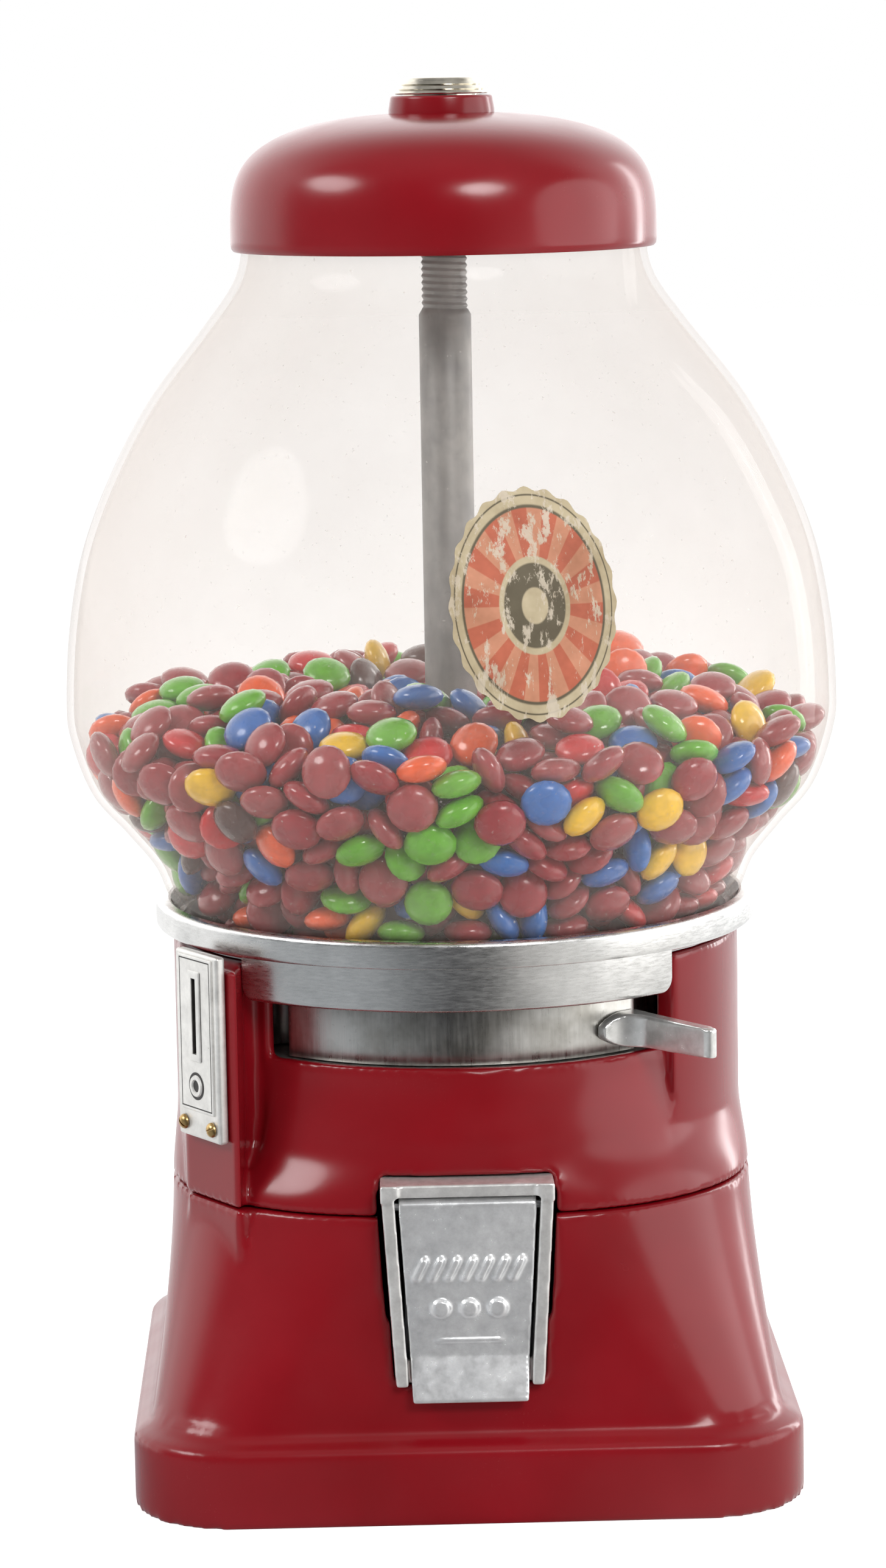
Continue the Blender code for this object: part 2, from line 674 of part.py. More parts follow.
def post_right():
    """Right edge of the post's face, along the face."""
    return PLATE_LEFT + PLATE_WIDTH + POST_MARGIN


def flank_point():
    """Where the post's right flank meets the cylinder, as (x, y)."""
    return post_point(post_right()) + Vector((POST_FLANK_LEAN, POST_FLANK_DEPTH))


def flank_azimuth():
    point = flank_point()
    return math.atan2(point.x, -point.y)


def window_left():
    return flank_azimuth() + WINDOW_FROM_FLANK


def post_block(name, low, high, inner_radius):
    """The coin post: a flat face, a flank that runs straight back and a blended left side."""
    front = post_point(post_right())
    left = post_point(PLATE_LEFT - POST_LEFT_MARGIN)
    front_azimuth = math.atan2(front.x, -front.y)
    left_azimuth = math.atan2(left.x, -left.y)
    inner_edge = on_azimuth(front_azimuth, inner_radius)
    if inner_radius < BODY_RADIUS:
        start = flank_azimuth()
        side = Vector((GAP - BODY_RADIUS, 0))
        arc = [on_azimuth(start + (-math.pi / 2 - start) * i / CORNER_STEPS, inner_radius)
               for i in range(CORNER_STEPS + 1)]
        outline = [left, front, flank_point(), *arc, side]
    else:
        outline = [left, front, inner_edge, on_azimuth(left_azimuth, inner_radius)]
    return prism(name, [tuple(point) for point in outline], low, high, cutter=True)


def build_upper_body():
    """Cast shell from the seam up to the collar, with the window and the coin post."""
    rings = []
    low = SEAM_HEIGHT + GAP / 2
    for share in BODY_RISE_SHARES:
        eased = share * share * (3 - 2 * share)
        half = SEAM_HALF + (BODY_RADIUS - SEAM_HALF) * eased
        corner = SEAM_CORNER + (BODY_RADIUS - SEAM_CORNER) * eased
        rings.append(rounded_square(half, corner, low + (BODY_ROUND_HEIGHT - low) * share))
    rings.append(rounded_square(BODY_RADIUS, BODY_RADIUS, BODY_TOP))
    bore = BODY_RADIUS - BODY_WALL
    deck_seat = DECK_HEIGHT - DECK_THICK - GAP
    ledge = bore - DECK_LEDGE
    for radius, height in ((bore, BODY_TOP), (bore, deck_seat), (ledge, deck_seat),
                           (ledge, deck_seat - DECK_LEDGE_DEPTH),
                           (bore, deck_seat - DECK_LEDGE_DEPTH - DECK_LEDGE)):
        rings.append(rounded_square(radius, radius, height))
    rings.append(rounded_square(SEAM_HALF - BASE_WALL, SEAM_CORNER - BASE_WALL, low))
    body = loft("upper_body", rings, closed=True, mat=enamel("body_enamel"))
    cut(body, valley_cutter())
    join(body, post_block("body_post", SEAM_HEIGHT + GAP / 2, BODY_TOP, POST_INNER_RADIUS))
    cut(body, window_cutter(), panel_cutter(), guide_channel())
    cut(body, *frame_openings(FRAME_TOP - FRAME_RAIL))
    return body


def window_cutter():
    """Clears the front wall from the lip up."""
    outline = sector(BODY_RADIUS - BODY_WALL - OVERRUN, BODY_RADIUS + OVERRUN,
                     window_left(), WINDOW_RIGHT, WINDOW_STEPS)
    return prism("window_cut", outline, LIP_HEIGHT, BODY_TOP + OVERRUN, cutter=True)


def sunk_sector(name, shares, outside, sunk, start, end, steps, top):
    """A cutter that reaches deeper into the wall as it rises, up to a last ring at the top."""
    rings = []
    levels = [(BODY_ROUND_HEIGHT + (LIP_HEIGHT - BODY_ROUND_HEIGHT) * rise, depth)
              for rise, depth in shares]
    for height, depth in levels + [(top, shares[-1][1])]:
        face = outside - (outside - sunk) * depth
        outline = sector(face, FOOT_HALF + OVERRUN, start, end, steps)
        rings.append([(x, y, height) for x, y in outline])
    return loft(name, rings, cutter=True)


def panel_cutter():
    """Sinks the front panel below the cylinder, less and less towards the seam."""
    return sunk_sector("panel_recess", PANEL_DEPTH_SHARES, BODY_RADIUS + GAP, LIP_RADIUS,
                       flank_azimuth() + PANEL_FROM_FLANK, WINDOW_RIGHT - PANEL_SHORT_OF_WINDOW,
                       WINDOW_STEPS, LIP_HEIGHT + OVERRUN)


def valley_cutter():
    """Valley beside the post, from the body's rim down to where it fades out."""
    start = flank_azimuth()
    return sunk_sector("post_valley", VALLEY_DEPTH_SHARES, BODY_RADIUS, BODY_RADIUS - VALLEY_DEPTH,
                       start + VALLEY_FROM_FLANK, start + WINDOW_FROM_FLANK, VALLEY_STEPS,
                       BODY_TOP + OVERRUN)


def guide_channel():
    """Passage through the coin post for the coin guide."""
    middle = PLATE_LEFT + PLATE_WIDTH / 2
    half = GUIDE_WIDTH / 2 + GAP
    channel = box("guide_channel", (middle - half, -OVERRUN, GUIDE_LOW - GAP),
                  (middle + half, GUIDE_DEPTH + BODY_WALL, GUIDE_HIGH + GAP), cutter=True)
    return turned(channel, POST_AZIMUTH, POST_DISTANCE)


def build_base_plate():
    """Sheet that closes the foot from below, with a hole for the rod."""
    half = FOOT_HALF - FOOT_WALL - GAP
    rings = [rounded_square(half, FOOT_CORNER - FOOT_WALL, height)
             for height in (BASE_PLATE_HEIGHT, BASE_PLATE_HEIGHT + BASE_PLATE_THICK)]
    plate = loft("base_plate", rings, mat=steel("base_plate_zinc"))
    cut(plate, cylinder("base_plate_hole", ROD_THREAD_RADIUS + ROD_CLEARANCE,
                        BASE_PLATE_HEIGHT - OVERRUN, BASE_PLATE_HEIGHT + OVERRUN, cutter=True))


def build_rod():
    """Centre rod with its threaded ends, and the nut and washer below."""
    shoulder_low = BASE_PLATE_HEIGHT + BASE_PLATE_THICK + GAP
    washer_high = BASE_PLATE_HEIGHT - GAP
    washer_low = washer_high - ROD_WASHER_THICK
    nut_high = washer_low - GAP / 3
    nut_low = nut_high - ROD_NUT_HEIGHT
    rod_top = LID_BOSS_HIGH - GAP
    profile = [(0, rod_top), (ROD_THREAD_RADIUS, rod_top),
               (ROD_THREAD_RADIUS, ROD_SHOULDER_HEIGHT), (ROD_RADIUS, ROD_SHOULDER_HEIGHT),
               (ROD_RADIUS, shoulder_low), (ROD_THREAD_RADIUS, shoulder_low),
               (ROD_THREAD_RADIUS, nut_low + ROD_END_PROUD), (0, nut_low + ROD_END_PROUD)]
    revolve("center_rod", profile, SMALL_STEPS, mat=steel("rod_steel"))
    bore = ROD_THREAD_RADIUS + ROD_CLEARANCE
    revolve("rod_washer", ring_profile(bore, ROD_WASHER_RADIUS, washer_low, washer_high),
            SMALL_STEPS, mat=steel("washer_steel"))
    nut = cylinder("rod_nut", ROD_NUT_ACROSS / math.sqrt(3), nut_low, nut_high, steps=6,
                   mat=steel("nut_steel"))
    cut(nut, cylinder("nut_bore", bore, nut_low - OVERRUN, nut_high + OVERRUN, cutter=True))


def ring_profile(inner, outer, low, high):
    """Section of a flat ring, running down its outer side."""
    return [(inner, high), (outer, high), (outer, low), (inner, low)]


def build_deck():
    """Plate that carries the wheel, with the hole that portions drop through."""
    low = DECK_HEIGHT - DECK_THICK
    rim = BODY_RADIUS - BODY_WALL - GAP
    deck = revolve("mech_deck", ring_profile(HUB_RADIUS + ROD_CLEARANCE, rim, low, DECK_HEIGHT),
                   mat=aluminium("deck_aluminium"))
    cut(deck, cylinder("drop_hole", DROP_RADIUS, low - OVERRUN, DECK_HEIGHT + OVERRUN,
                       on_azimuth(0, POCKET_DISTANCE), cutter=True))


def build_wheel():
    """Dispensing wheel: disc, hub, apron and measuring pocket."""
    low = DECK_HEIGHT + WHEEL_LIFT
    high = low + WHEEL_HEIGHT
    bore = ROD_RADIUS + ROD_CLEARANCE
    profile = [(bore, high), (WHEEL_RADIUS, high), (WHEEL_RADIUS, low), (HUB_RADIUS, low),
               (HUB_RADIUS, HUB_LOW), (bore, HUB_LOW)]
    wheel = revolve("rotor_wheel", profile, mat=aluminium("wheel_aluminium"))
    apron = prism("apron", sector(WHEEL_RADIUS - OVERRUN, APRON_RADIUS,
                                  window_left() + APRON_FROM_WINDOW_LEFT,
                                  WINDOW_RIGHT - APRON_FROM_WINDOW_RIGHT, APRON_STEPS),
                  low, high, cutter=True)
    join(wheel, apron)
    cut(wheel,
        cylinder("pocket", POCKET_RADIUS, low - OVERRUN, high + OVERRUN,
                 on_azimuth(POCKET_AZIMUTH, POCKET_DISTANCE), cutter=True),
        cylinder("coin_notch", COIN_NOTCH_RADIUS, low - OVERRUN, high + OVERRUN,
                 on_azimuth(COIN_NOTCH_AZIMUTH, WHEEL_RADIUS), cutter=True))


def build_lever():
    """Push lever: a blade with a foot that lies on the apron and a fillet between them."""
    root = APRON_RADIUS + GAP
    half, tip_half = LEVER_THICK / 2, LEVER_TIP_THICK / 2
    foot_out = root + LEVER_FOOT_THICK
    rounded_tip = [(tip_half * math.sin(angle), -(LEVER_TIP - tip_half * (1 - math.cos(angle))))
                   for angle in (i * math.pi / LEVER_STEPS - math.pi / 2
                                 for i in range(LEVER_STEPS + 1))]
    fillet = [(-half - LEVER_FILLET * (1 - math.cos(angle)),
               -(foot_out + LEVER_FILLET * (1 - math.sin(angle))))
              for angle in (i * math.pi / 2 / LEVER_STEPS for i in range(1, LEVER_STEPS + 1))]
    root_y = -math.sqrt(root ** 2 - half ** 2)
    foot_left = -half - LEVER_FOOT_LEFT
    arc_back = [(foot_left + (half - foot_left) * i / LEVER_STEPS,
                 -math.sqrt(root ** 2 - (foot_left + (half - foot_left) * i / LEVER_STEPS) ** 2))
                for i in range(LEVER_STEPS)]
    left_edge = (foot_left, -math.sqrt(foot_out ** 2 - foot_left ** 2))
    outline = [(half, root_y), *reversed(rounded_tip), *fillet, left_edge, *arc_back]
    drop = LEVER_HEIGHT - LEVER_TIP_HEIGHT
    rings = []
    for height, sign in ((LEVER_LOW, 1), (LEVER_LOW + LEVER_HEIGHT, -1)):
        ring = []
        for x, y in outline:
            reach = max(0.0, (-y - root) / (LEVER_TIP - root))
            ring.append((x, y, height + sign * drop / 2 * reach))
        rings.append(ring)
    lever = loft("push_lever", rings, mat=aluminium("lever_aluminium"))
    bevel(lever, LEVER_EDGE, angle=50 * DEG)
    turned(lever, LEVER_AZIMUTH)


def build_spring():
    """Torsion spring round the hub: one unbroken wire with a straight leg at each end."""
    count = SPRING_TURNS * SPRING_POINTS
    top = DECK_HEIGHT - DECK_THICK - GAP - SPRING_WIRE / 2
    coil = []
    for i in range(count + 1):
        angle = 2 * math.pi * i / SPRING_POINTS
        coil.append(Vector((SPRING_RADIUS * math.cos(angle), SPRING_RADIUS * math.sin(angle),
                            top - SPRING_PITCH * i / SPRING_POINTS)))
    first = coil[0] + Vector((0, -SPRING_LEG, 0))
    last = coil[-1] + Vector((0, SPRING_LEG, 0))
    route = [first, *coil, last]
    report_least_gap(route)
    curve = bpy.data.curves.new("return_spring", "CURVE")
    curve.dimensions = "3D"
    curve.bevel_depth = SPRING_WIRE / 2
    curve.bevel_resolution = 1
    curve.use_fill_caps = True
    spline = curve.splines.new("POLY")
    spline.points.add(len(route) - 1)
    for point, place in zip(spline.points, route):
        point.co = (*place, 1.0)
    spring = bpy.data.objects.new("return_spring", curve)
    parts.objects.link(spring)
    curve.materials.append(steel("spring_steel"))


def report_least_gap(route):
    """Measure the wire's least gap to itself on the route's points and print it."""
    apart = SPRING_POINTS // 2
    nearest = min((route[i] - route[j]).length for i in range(len(route))
                  for j in range(i + apart, len(route)))
    print("return_spring least gap mm", round((nearest - SPRING_WIRE) / MM, 3))


def build_pawl():
    """Pawl on its pin, behind the wheel."""
    pivot = on_azimuth(PAWL_AZIMUTH, PAWL_PIVOT_DISTANCE)
    high = PAWL_LOW + PAWL_HEIGHT
    pawl = cylinder("rotor_pawl", PAWL_EYE, PAWL_LOW, high, mat=steel("pawl_steel"))
    nose = PAWL_PIVOT_DISTANCE - math.sqrt((WHEEL_RADIUS + PAWL_SEAT_GAP) ** 2 - PAWL_REACH ** 2)
    arm = prism("pawl_arm", [(-PAWL_REACH, nose), (-PAWL_REACH, nose - PAWL_THICK),
                             (0, -PAWL_THICK / 2), (0, PAWL_THICK / 2)],
                PAWL_LOW, high, cutter=True)
    join(pawl, arm)
    cut(pawl, cylinder("pawl_eye", PAWL_PIN_RADIUS + GAP, PAWL_LOW - OVERRUN, high + OVERRUN,
                       cutter=True))
    turned(pawl, PAWL_AZIMUTH, PAWL_PIVOT_DISTANCE)
    for name in ("pawl_arm", "pawl_eye"):
        bpy.data.objects[name].parent = pawl
    cylinder("pawl_pin", PAWL_PIN_RADIUS, DECK_HEIGHT + GAP, high + OVERRUN / 2, pivot,
             mat=steel("pawl_pin_steel"))


def build_coin_plate():
    """Coin plate with its raised panel, framed slit and two screws."""
    middle = PLATE_LEFT + PLATE_WIDTH / 2
    back, front = -GAP, -GAP - PLATE_THICK
    plate = box("coin_plate", (PLATE_LEFT, front, PLATE_LOW),
                (PLATE_LEFT + PLATE_WIDTH, back, PLATE_HIGH), mat=aluminium("plate_aluminium"))
    bevel(plate, PLATE_EDGE)
    embed = -PLATE_THICK / 2
    margin, proud = PLATE_PANEL_MARGIN, PLATE_PANEL_PROUD
    panel = box("raised_panel", (PLATE_LEFT + margin, front - proud, PLATE_PANEL_LOW),
                (PLATE_LEFT + PLATE_WIDTH - margin, embed, PLATE_HIGH - margin / 2), cutter=True)
    slit_high = SLIT_LOW + SLIT_HEIGHT
    half = SLIT_WIDTH / 2
    face = front - proud - SLIT_FRAME_PROUD
    border = box("slit_border", (middle - half - SLIT_FRAME, face, SLIT_LOW - SLIT_FRAME),
                 (middle + half + SLIT_FRAME, embed, slit_high + SLIT_FRAME), cutter=True)
    ends = [box("slit_end", (middle - SLIT_END_WIDTH / 2, face, low),
                (middle + SLIT_END_WIDTH / 2, embed, low + SLIT_END_HEIGHT), cutter=True)
            for low in (SLIT_LOW - SLIT_FRAME - GAP, slit_high + SLIT_FRAME + GAP - SLIT_END_HEIGHT)]
    join(plate, panel, border, *ends)
    holes = [box("slit_hole", (middle - half, face - OVERRUN, SLIT_LOW),
                 (middle + half, OVERRUN, slit_high), cutter=True)]
    for side in (-1, 1):
        hole = cylinder("screw_hole", PLATE_SCREW_SHANK + GAP, -OVERRUN, OVERRUN + PLATE_THICK,
                        cutter=True)
        hole.rotation_euler = (90 * DEG, 0, 0)
        hole.location = (middle + side * PLATE_SCREW_SPREAD, 0, PLATE_SCREW_HEIGHT)
        holes.append(hole)
    cut(plate, *holes)
    for helper in (panel, border, *ends, *holes):
        helper.parent = plate
    turned(plate, POST_AZIMUTH, POST_DISTANCE)
    for side, name in ((-1, "plate_screw_left"), (1, "plate_screw_right")):
        build_plate_screw(name, middle + side * PLATE_SCREW_SPREAD)
    build_guide(middle)


def build_plate_screw(name, along):
    """Round-head screw into the post, with a slotted head."""
    seat = 0
    steps = [i * math.pi / 2 / OUTLINE_STEPS for i in range(OUTLINE_STEPS + 1)]
    dome = [(PLATE_SCREW_HEAD * math.sin(angle), seat + PLATE_SCREW_DOME * math.cos(angle))
            for angle in steps]
    profile = [*dome, (PLATE_SCREW_SHANK, seat), (PLATE_SCREW_SHANK, -PLATE_THICK - GAP / 2),
               (0, -PLATE_THICK - GAP / 2)]
    screw = revolve(name, profile, SMALL_STEPS // 2, mat=brass(name + "_brass"))
    slot = box(name + "_slot", (-PLATE_SCREW_HEAD * 2, -PLATE_SCREW_SLOT / 2, PLATE_SCREW_DOME / 2),
               (PLATE_SCREW_HEAD * 2, PLATE_SCREW_SLOT / 2, PLATE_SCREW_DOME * 2), cutter=True)
    slot.parent = screw
    cut(screw, slot)
    place = post_point(along, -PLATE_THICK - 2 * GAP)
    screw.location = (place.x, place.y, PLATE_SCREW_HEIGHT)
    screw.rotation_euler = (90 * DEG, 0, POST_AZIMUTH)


def build_guide(middle):
    """Coin guide: a block with a slit that leads a coin from the plate to the wheel."""
    guide = box("coin_guide", (middle - GUIDE_WIDTH / 2, 0, GUIDE_LOW),
                (middle + GUIDE_WIDTH / 2, GUIDE_DEPTH, GUIDE_HIGH), mat=steel("guide_zinc"))
    half = SLIT_WIDTH / 2 + GUIDE_COIN_SLACK / 2
    slit = box("guide_slit", (middle - half, -OVERRUN, SLIT_LOW - GUIDE_COIN_SLACK),
               (middle + half, GUIDE_DEPTH + OVERRUN, SLIT_LOW + SLIT_HEIGHT + GUIDE_COIN_SLACK),
               cutter=True)
    slit.parent = guide
    cut(guide, slit)
    turned(guide, POST_AZIMUTH, POST_DISTANCE)


def build_hopper():
    """Pan under the globe, hung by its flange, and the brush at its opening."""
    floor_top = PAN_FLOOR + PAN_SHEET
    inner = PAN_WALL_RADIUS - PAN_SHEET
    bore = ROD_RADIUS + ROD_CLEARANCE
    flange_low = BODY_TOP + GAP
    flange_high = flange_low + PAN_FLANGE_THICK
    profile = [(bore, floor_top), (inner, floor_top), (inner, flange_high),
               (PAN_FLANGE_RADIUS, flange_high), (PAN_FLANGE_RADIUS, flange_low),
               (PAN_WALL_RADIUS, flange_low), (PAN_WALL_RADIUS, PAN_FLOOR), (bore, PAN_FLOOR)]
    pan = revolve("hopper_pan", profile, mat=steel("pan_zinc"))
    cut(pan, cylinder("pan_opening", PAN_OPENING, PAN_FLOOR - OVERRUN, floor_top + OVERRUN,
                      on_azimuth(POCKET_AZIMUTH, POCKET_DISTANCE), cutter=True))
    low = floor_top + GAP
    high = low + BRUSH_HOLDER_HEIGHT
    azimuth = POCKET_AZIMUTH - BRUSH_TURN
    out, back = POCKET_DISTANCE + BRUSH_LENGTH / 2, POCKET_DISTANCE - BRUSH_LENGTH / 2
    wall = BRUSH_HOLDER_WALL
    section = [(0, high), (BRUSH_WIDTH, high), (BRUSH_WIDTH, high - BRUSH_HOLDER_HEIGHT / 2),
               (BRUSH_WIDTH - wall, high - BRUSH_HOLDER_HEIGHT / 2), (BRUSH_WIDTH - wall, high - wall),
               (wall, high - wall), (wall, low + wall), (wall, low), (wall - BRUSH_FOOT, low),
               (wall - BRUSH_FOOT, low + wall), (0, low + wall)]
    holder = loft("brush_holder", [[(x, y, z) for x, z in section] for y in (-out, -back)],
                  mat=steel("holder_steel"))
    turned(holder, azimuth)
    bristles = box("leveling_brush", (wall + GAP, -out, low), (BRUSH_WIDTH - wall - GAP, -back,
                                                               high - wall - GAP),
                   mat=material("brush_fibre", (0.05, 0.04, 0.03), 0.9))
    turned(bristles, azimuth)


def build_collar():
    """Polished collar: bead, globe seat and the skirt over the window."""
    bead = COLLAR_BEAD
    profile = [(COLLAR_EDGE_RADIUS, COLLAR_HIGH)]
    for i in range(OUTLINE_STEPS + 1):
        angle = i * math.pi / 2 / OUTLINE_STEPS
        profile.append((COLLAR_RADIUS - bead * (1 - math.sin(angle)),
                        COLLAR_HIGH - bead * (1 - math.cos(angle))))
    for i in range(OUTLINE_STEPS + 1):
        angle = i * math.pi / 2 / OUTLINE_STEPS
        profile.append((COLLAR_RADIUS - bead * (1 - math.cos(angle)),
                        COLLAR_LOW + bead * (1 - math.sin(angle))))
    profile += [(COLLAR_BORE, COLLAR_LOW), (COLLAR_BORE, COLLAR_SEAT),
                (COLLAR_SEAT_RADIUS, COLLAR_SEAT)]
    collar = revolve("collar_ring", profile, COLLAR_STEPS, mat=aluminium("collar_aluminium"))
    inner = BODY_RADIUS + SKIRT_CLEARANCE
    skirt_top = COLLAR_LOW + COLLAR_BEAD / 2
    roll = SKIRT_ROLL
    skirt = revolve("skirt_band", [(inner, skirt_top), (SKIRT_RADIUS, skirt_top),
                                   (SKIRT_RADIUS, SKIRT_LOW + roll),
                                   (SKIRT_RADIUS - roll, SKIRT_LOW), (inner, SKIRT_LOW)],
                    COLLAR_STEPS, cutter=True)
    outline = []
    for side, end in ((1, SKIRT_RIGHT), (-1, flank_azimuth() + SKIRT_FROM_FLANK)):
        half = SKIRT_RADIUS * abs(math.sin(end))
        edge = [(side * half, skirt_top + OVERRUN)]
        for i in range(OUTLINE_STEPS + 1):
            angle = i * math.pi / 2 / OUTLINE_STEPS
            edge.append((side * (half - SKIRT_CORNER * (1 - math.cos(angle))),
                         SKIRT_LOW - GAP + SKIRT_CORNER * (1 - math.sin(angle))))
        outline += edge[::side]
    shape = loft("skirt_shape", [[(x, y, z) for x, z in outline]
                                 for y in (-COLLAR_RADIUS - OVERRUN, 0)], cutter=True)
    boolean(skirt, shape, "INTERSECT")
    join(collar, skirt)


def globe_curve():
    """Outer outline of the globe from its foot to its neck, as (radius, height)."""
    tall = GLOBE_HIGH - GLOBE_LOW
    points = []
    for shares, end in ((GLOBE_FOOT_SHARES, GLOBE_FOOT_RADIUS), (GLOBE_NECK_SHARES, GLOBE_NECK_RADIUS)):
        points += [(end + (GLOBE_RADIUS - end) * way, GLOBE_LOW + tall * rise)
                   for rise, way in shares]
    return smooth(points, GLOBE_SPAN_STEPS)


def globe_bore():
    """Inner outline of the globe, with every second point of the outer one."""
    return inset(globe_curve(), GLOBE_WALL)[::2]


def build_globe():
    """Glass globe, open at its foot and neck, between two gaskets."""
    outer = globe_curve()
    inner = globe_bore()
    inner[0].y, inner[-1].y = GLOBE_LOW, GLOBE_HIGH
    profile = [tuple(p) for p in reversed(outer)] + [tuple(p) for p in inner]
    revolve("globe", profile, ROUND_STEPS,
            mat=material("globe_glass", (0.9, 0.9, 0.88), 0.05, transmission=1.0))
    foot_out = outer[0].x + GAP
    gasket_low = COLLAR_SEAT + GAP / 3
    revolve("globe_gasket", ring_profile(foot_out - GASKET_WIDTH, foot_out, gasket_low,
                                         gasket_low + GASKET_THICK), mat=rubber("globe_rubber"))
    neck = outer[-1].x
    low = GLOBE_HIGH + GAP
    revolve("lid_gasket", ring_profile(neck - LID_GASKET_WIDTH, neck, low,
                                       low + LID_GASKET_THICK), mat=rubber("lid_rubber"))


def build_lid():
    """Domed lid with a boss that the lock nut sits in."""
    tall = LID_DOME_HIGH - LID_LOW
    outer = smooth([(LID_RADIUS * radius, LID_LOW + tall * rise)
                    for rise, radius in LID_OUTLINE_SHARES], LID_SPAN_STEPS)
    seat = GLOBE_HIGH + 2 * GAP + LID_GASKET_THICK
    shelf = outer[0].x - LID_GASKET_WIDTH * 2
    dome = [point for point in inset(outer, LID_WALL)[::2] if point.y > seat and point.x < shelf]
    thread_bore = ROD_THREAD_RADIUS + LID_BORE_CLEARANCE
    lock_bore = LOCK_SHANK_RADIUS + GAP
    profile = [(lock_bore, LID_BOSS_HIGH), (LID_BOSS_RADIUS - LID_BOSS_DRAFT, LID_BOSS_HIGH),
               (LID_BOSS_RADIUS, LID_DOME_HIGH)]
    profile += [tuple(point) for point in reversed(outer)]
    profile += [(LID_RIM_BORE, LID_LOW), (LID_RIM_BORE, seat), (shelf, seat)]
    profile += [tuple(point) for point in dome if point.y < LID_WEB_HIGH - LID_WEB]
    profile += [(LID_BOSS_RADIUS, LID_WEB_HIGH - LID_WEB), (thread_bore, LID_WEB_HIGH - LID_WEB),
                (thread_bore, LID_WEB_HIGH), (lock_bore, LID_WEB_HIGH)]
    revolve("lid", profile, mat=enamel("lid_enamel"))


def build_lock():
    """Lock nut on the rod's upper thread and the key plug in it."""
    base = LID_BOSS_HIGH + GAP
    shank_low = LID_WEB_HIGH + GAP
    bore = ROD_THREAD_RADIUS + ROD_CLEARANCE
    plug_bore = LOCK_PLUG_RADIUS + GAP
    edge = LOCK_EDGE
    profile = [(plug_bore, LOCK_HIGH), (LOCK_TOP_RADIUS - edge, LOCK_HIGH),
               (LOCK_TOP_RADIUS, LOCK_HIGH - edge), (LOCK_BASE_RADIUS, base + edge / 2),
               (LOCK_BASE_RADIUS, base), (LOCK_SHANK_RADIUS, base),
               (LOCK_SHANK_RADIUS, shank_low), (bore, shank_low), (bore, base + GAP),
               (plug_bore, base + GAP)]
    revolve("lock_nut", profile, SMALL_STEPS,
            mat=material("lock_nickel", (0.66, 0.62, 0.54), 0.16, metallic=1.0))
    plug_low = LID_BOSS_HIGH + GAP
    plug = cylinder("lock_plug", LOCK_PLUG_RADIUS, plug_low, LOCK_HIGH - GAP,
                    mat=material("plug_brass", (0.55, 0.42, 0.2), 0.3, metallic=1.0))
    cut(plug, box("keyway", (-KEYWAY_LENGTH / 2, -KEYWAY_WIDTH / 2, LOCK_HIGH - GAP - KEYWAY_DEPTH),
                  (KEYWAY_LENGTH / 2, KEYWAY_WIDTH / 2, LOCK_HIGH + OVERRUN), cutter=True))


def build_chute_frame():
    """Cast frame of the chute: two rails, a top bar and a sill set back behind the flap."""
    frame = upright("chute_frame", FRAME_LOW, FRAME_TOP, 0.0, FRAME_FRONT, FRAME_BACK,
                    cutter=False, mat=aluminium("frame_aluminium"))
    mouth = upright("frame_mouth", FRAME_LOW + FRAME_RAIL, FRAME_TOP - FRAME_RAIL, -FRAME_RAIL,
                    FRAME_FRONT + OVERRUN, FRAME_BACK - OVERRUN)
    step = upright("sill_step", FRAME_LOW - OVERRUN, FRAME_LOW + 2 * FRAME_RAIL, -FRAME_RAIL,
                   FRAME_FRONT + OVERRUN, SILL_FRONT)
    half = frame_half(FRAME_TOP)
    for side in (-1, 1):
        inner, outer = sorted((side * (half - FRAME_KNUCKLE), side * half))
        join(frame, box("frame_knuckle", (inner, -FRAME_FRONT - FRAME_KNUCKLE_PROUD,
                                          FRAME_TOP - FRAME_KNUCKLE),
                        (outer, -FRAME_BACK - FRAME_KNUCKLE, FRAME_TOP), cutter=True))
    cut(frame, mouth, step)
    bevel(frame, FRAME_EDGE)
    pin_half = frame_half(FLAP_PIN_HEIGHT) - FRAME_RAIL / 2
    cut(frame, cross_pin("pin_holes", FLAP_PIN_RADIUS + GAP, pin_half + GAP, cutter=True))
    cross_pin("flap_pin", FLAP_PIN_RADIUS, pin_half, mat=steel("flap_pin_steel"))


def cross_pin(name, radius, half, mat=None, cutter=False):
    """A pin along X on the flap's axis."""
    pin = cylinder(name, radius, -half, half, steps=SMALL_STEPS // 2, mat=mat, cutter=cutter)
    pin.rotation_euler = (0, 90 * DEG, 0)
    pin.location = (0, -FLAP_PIN_DISTANCE, FLAP_PIN_HEIGHT)
    return pin


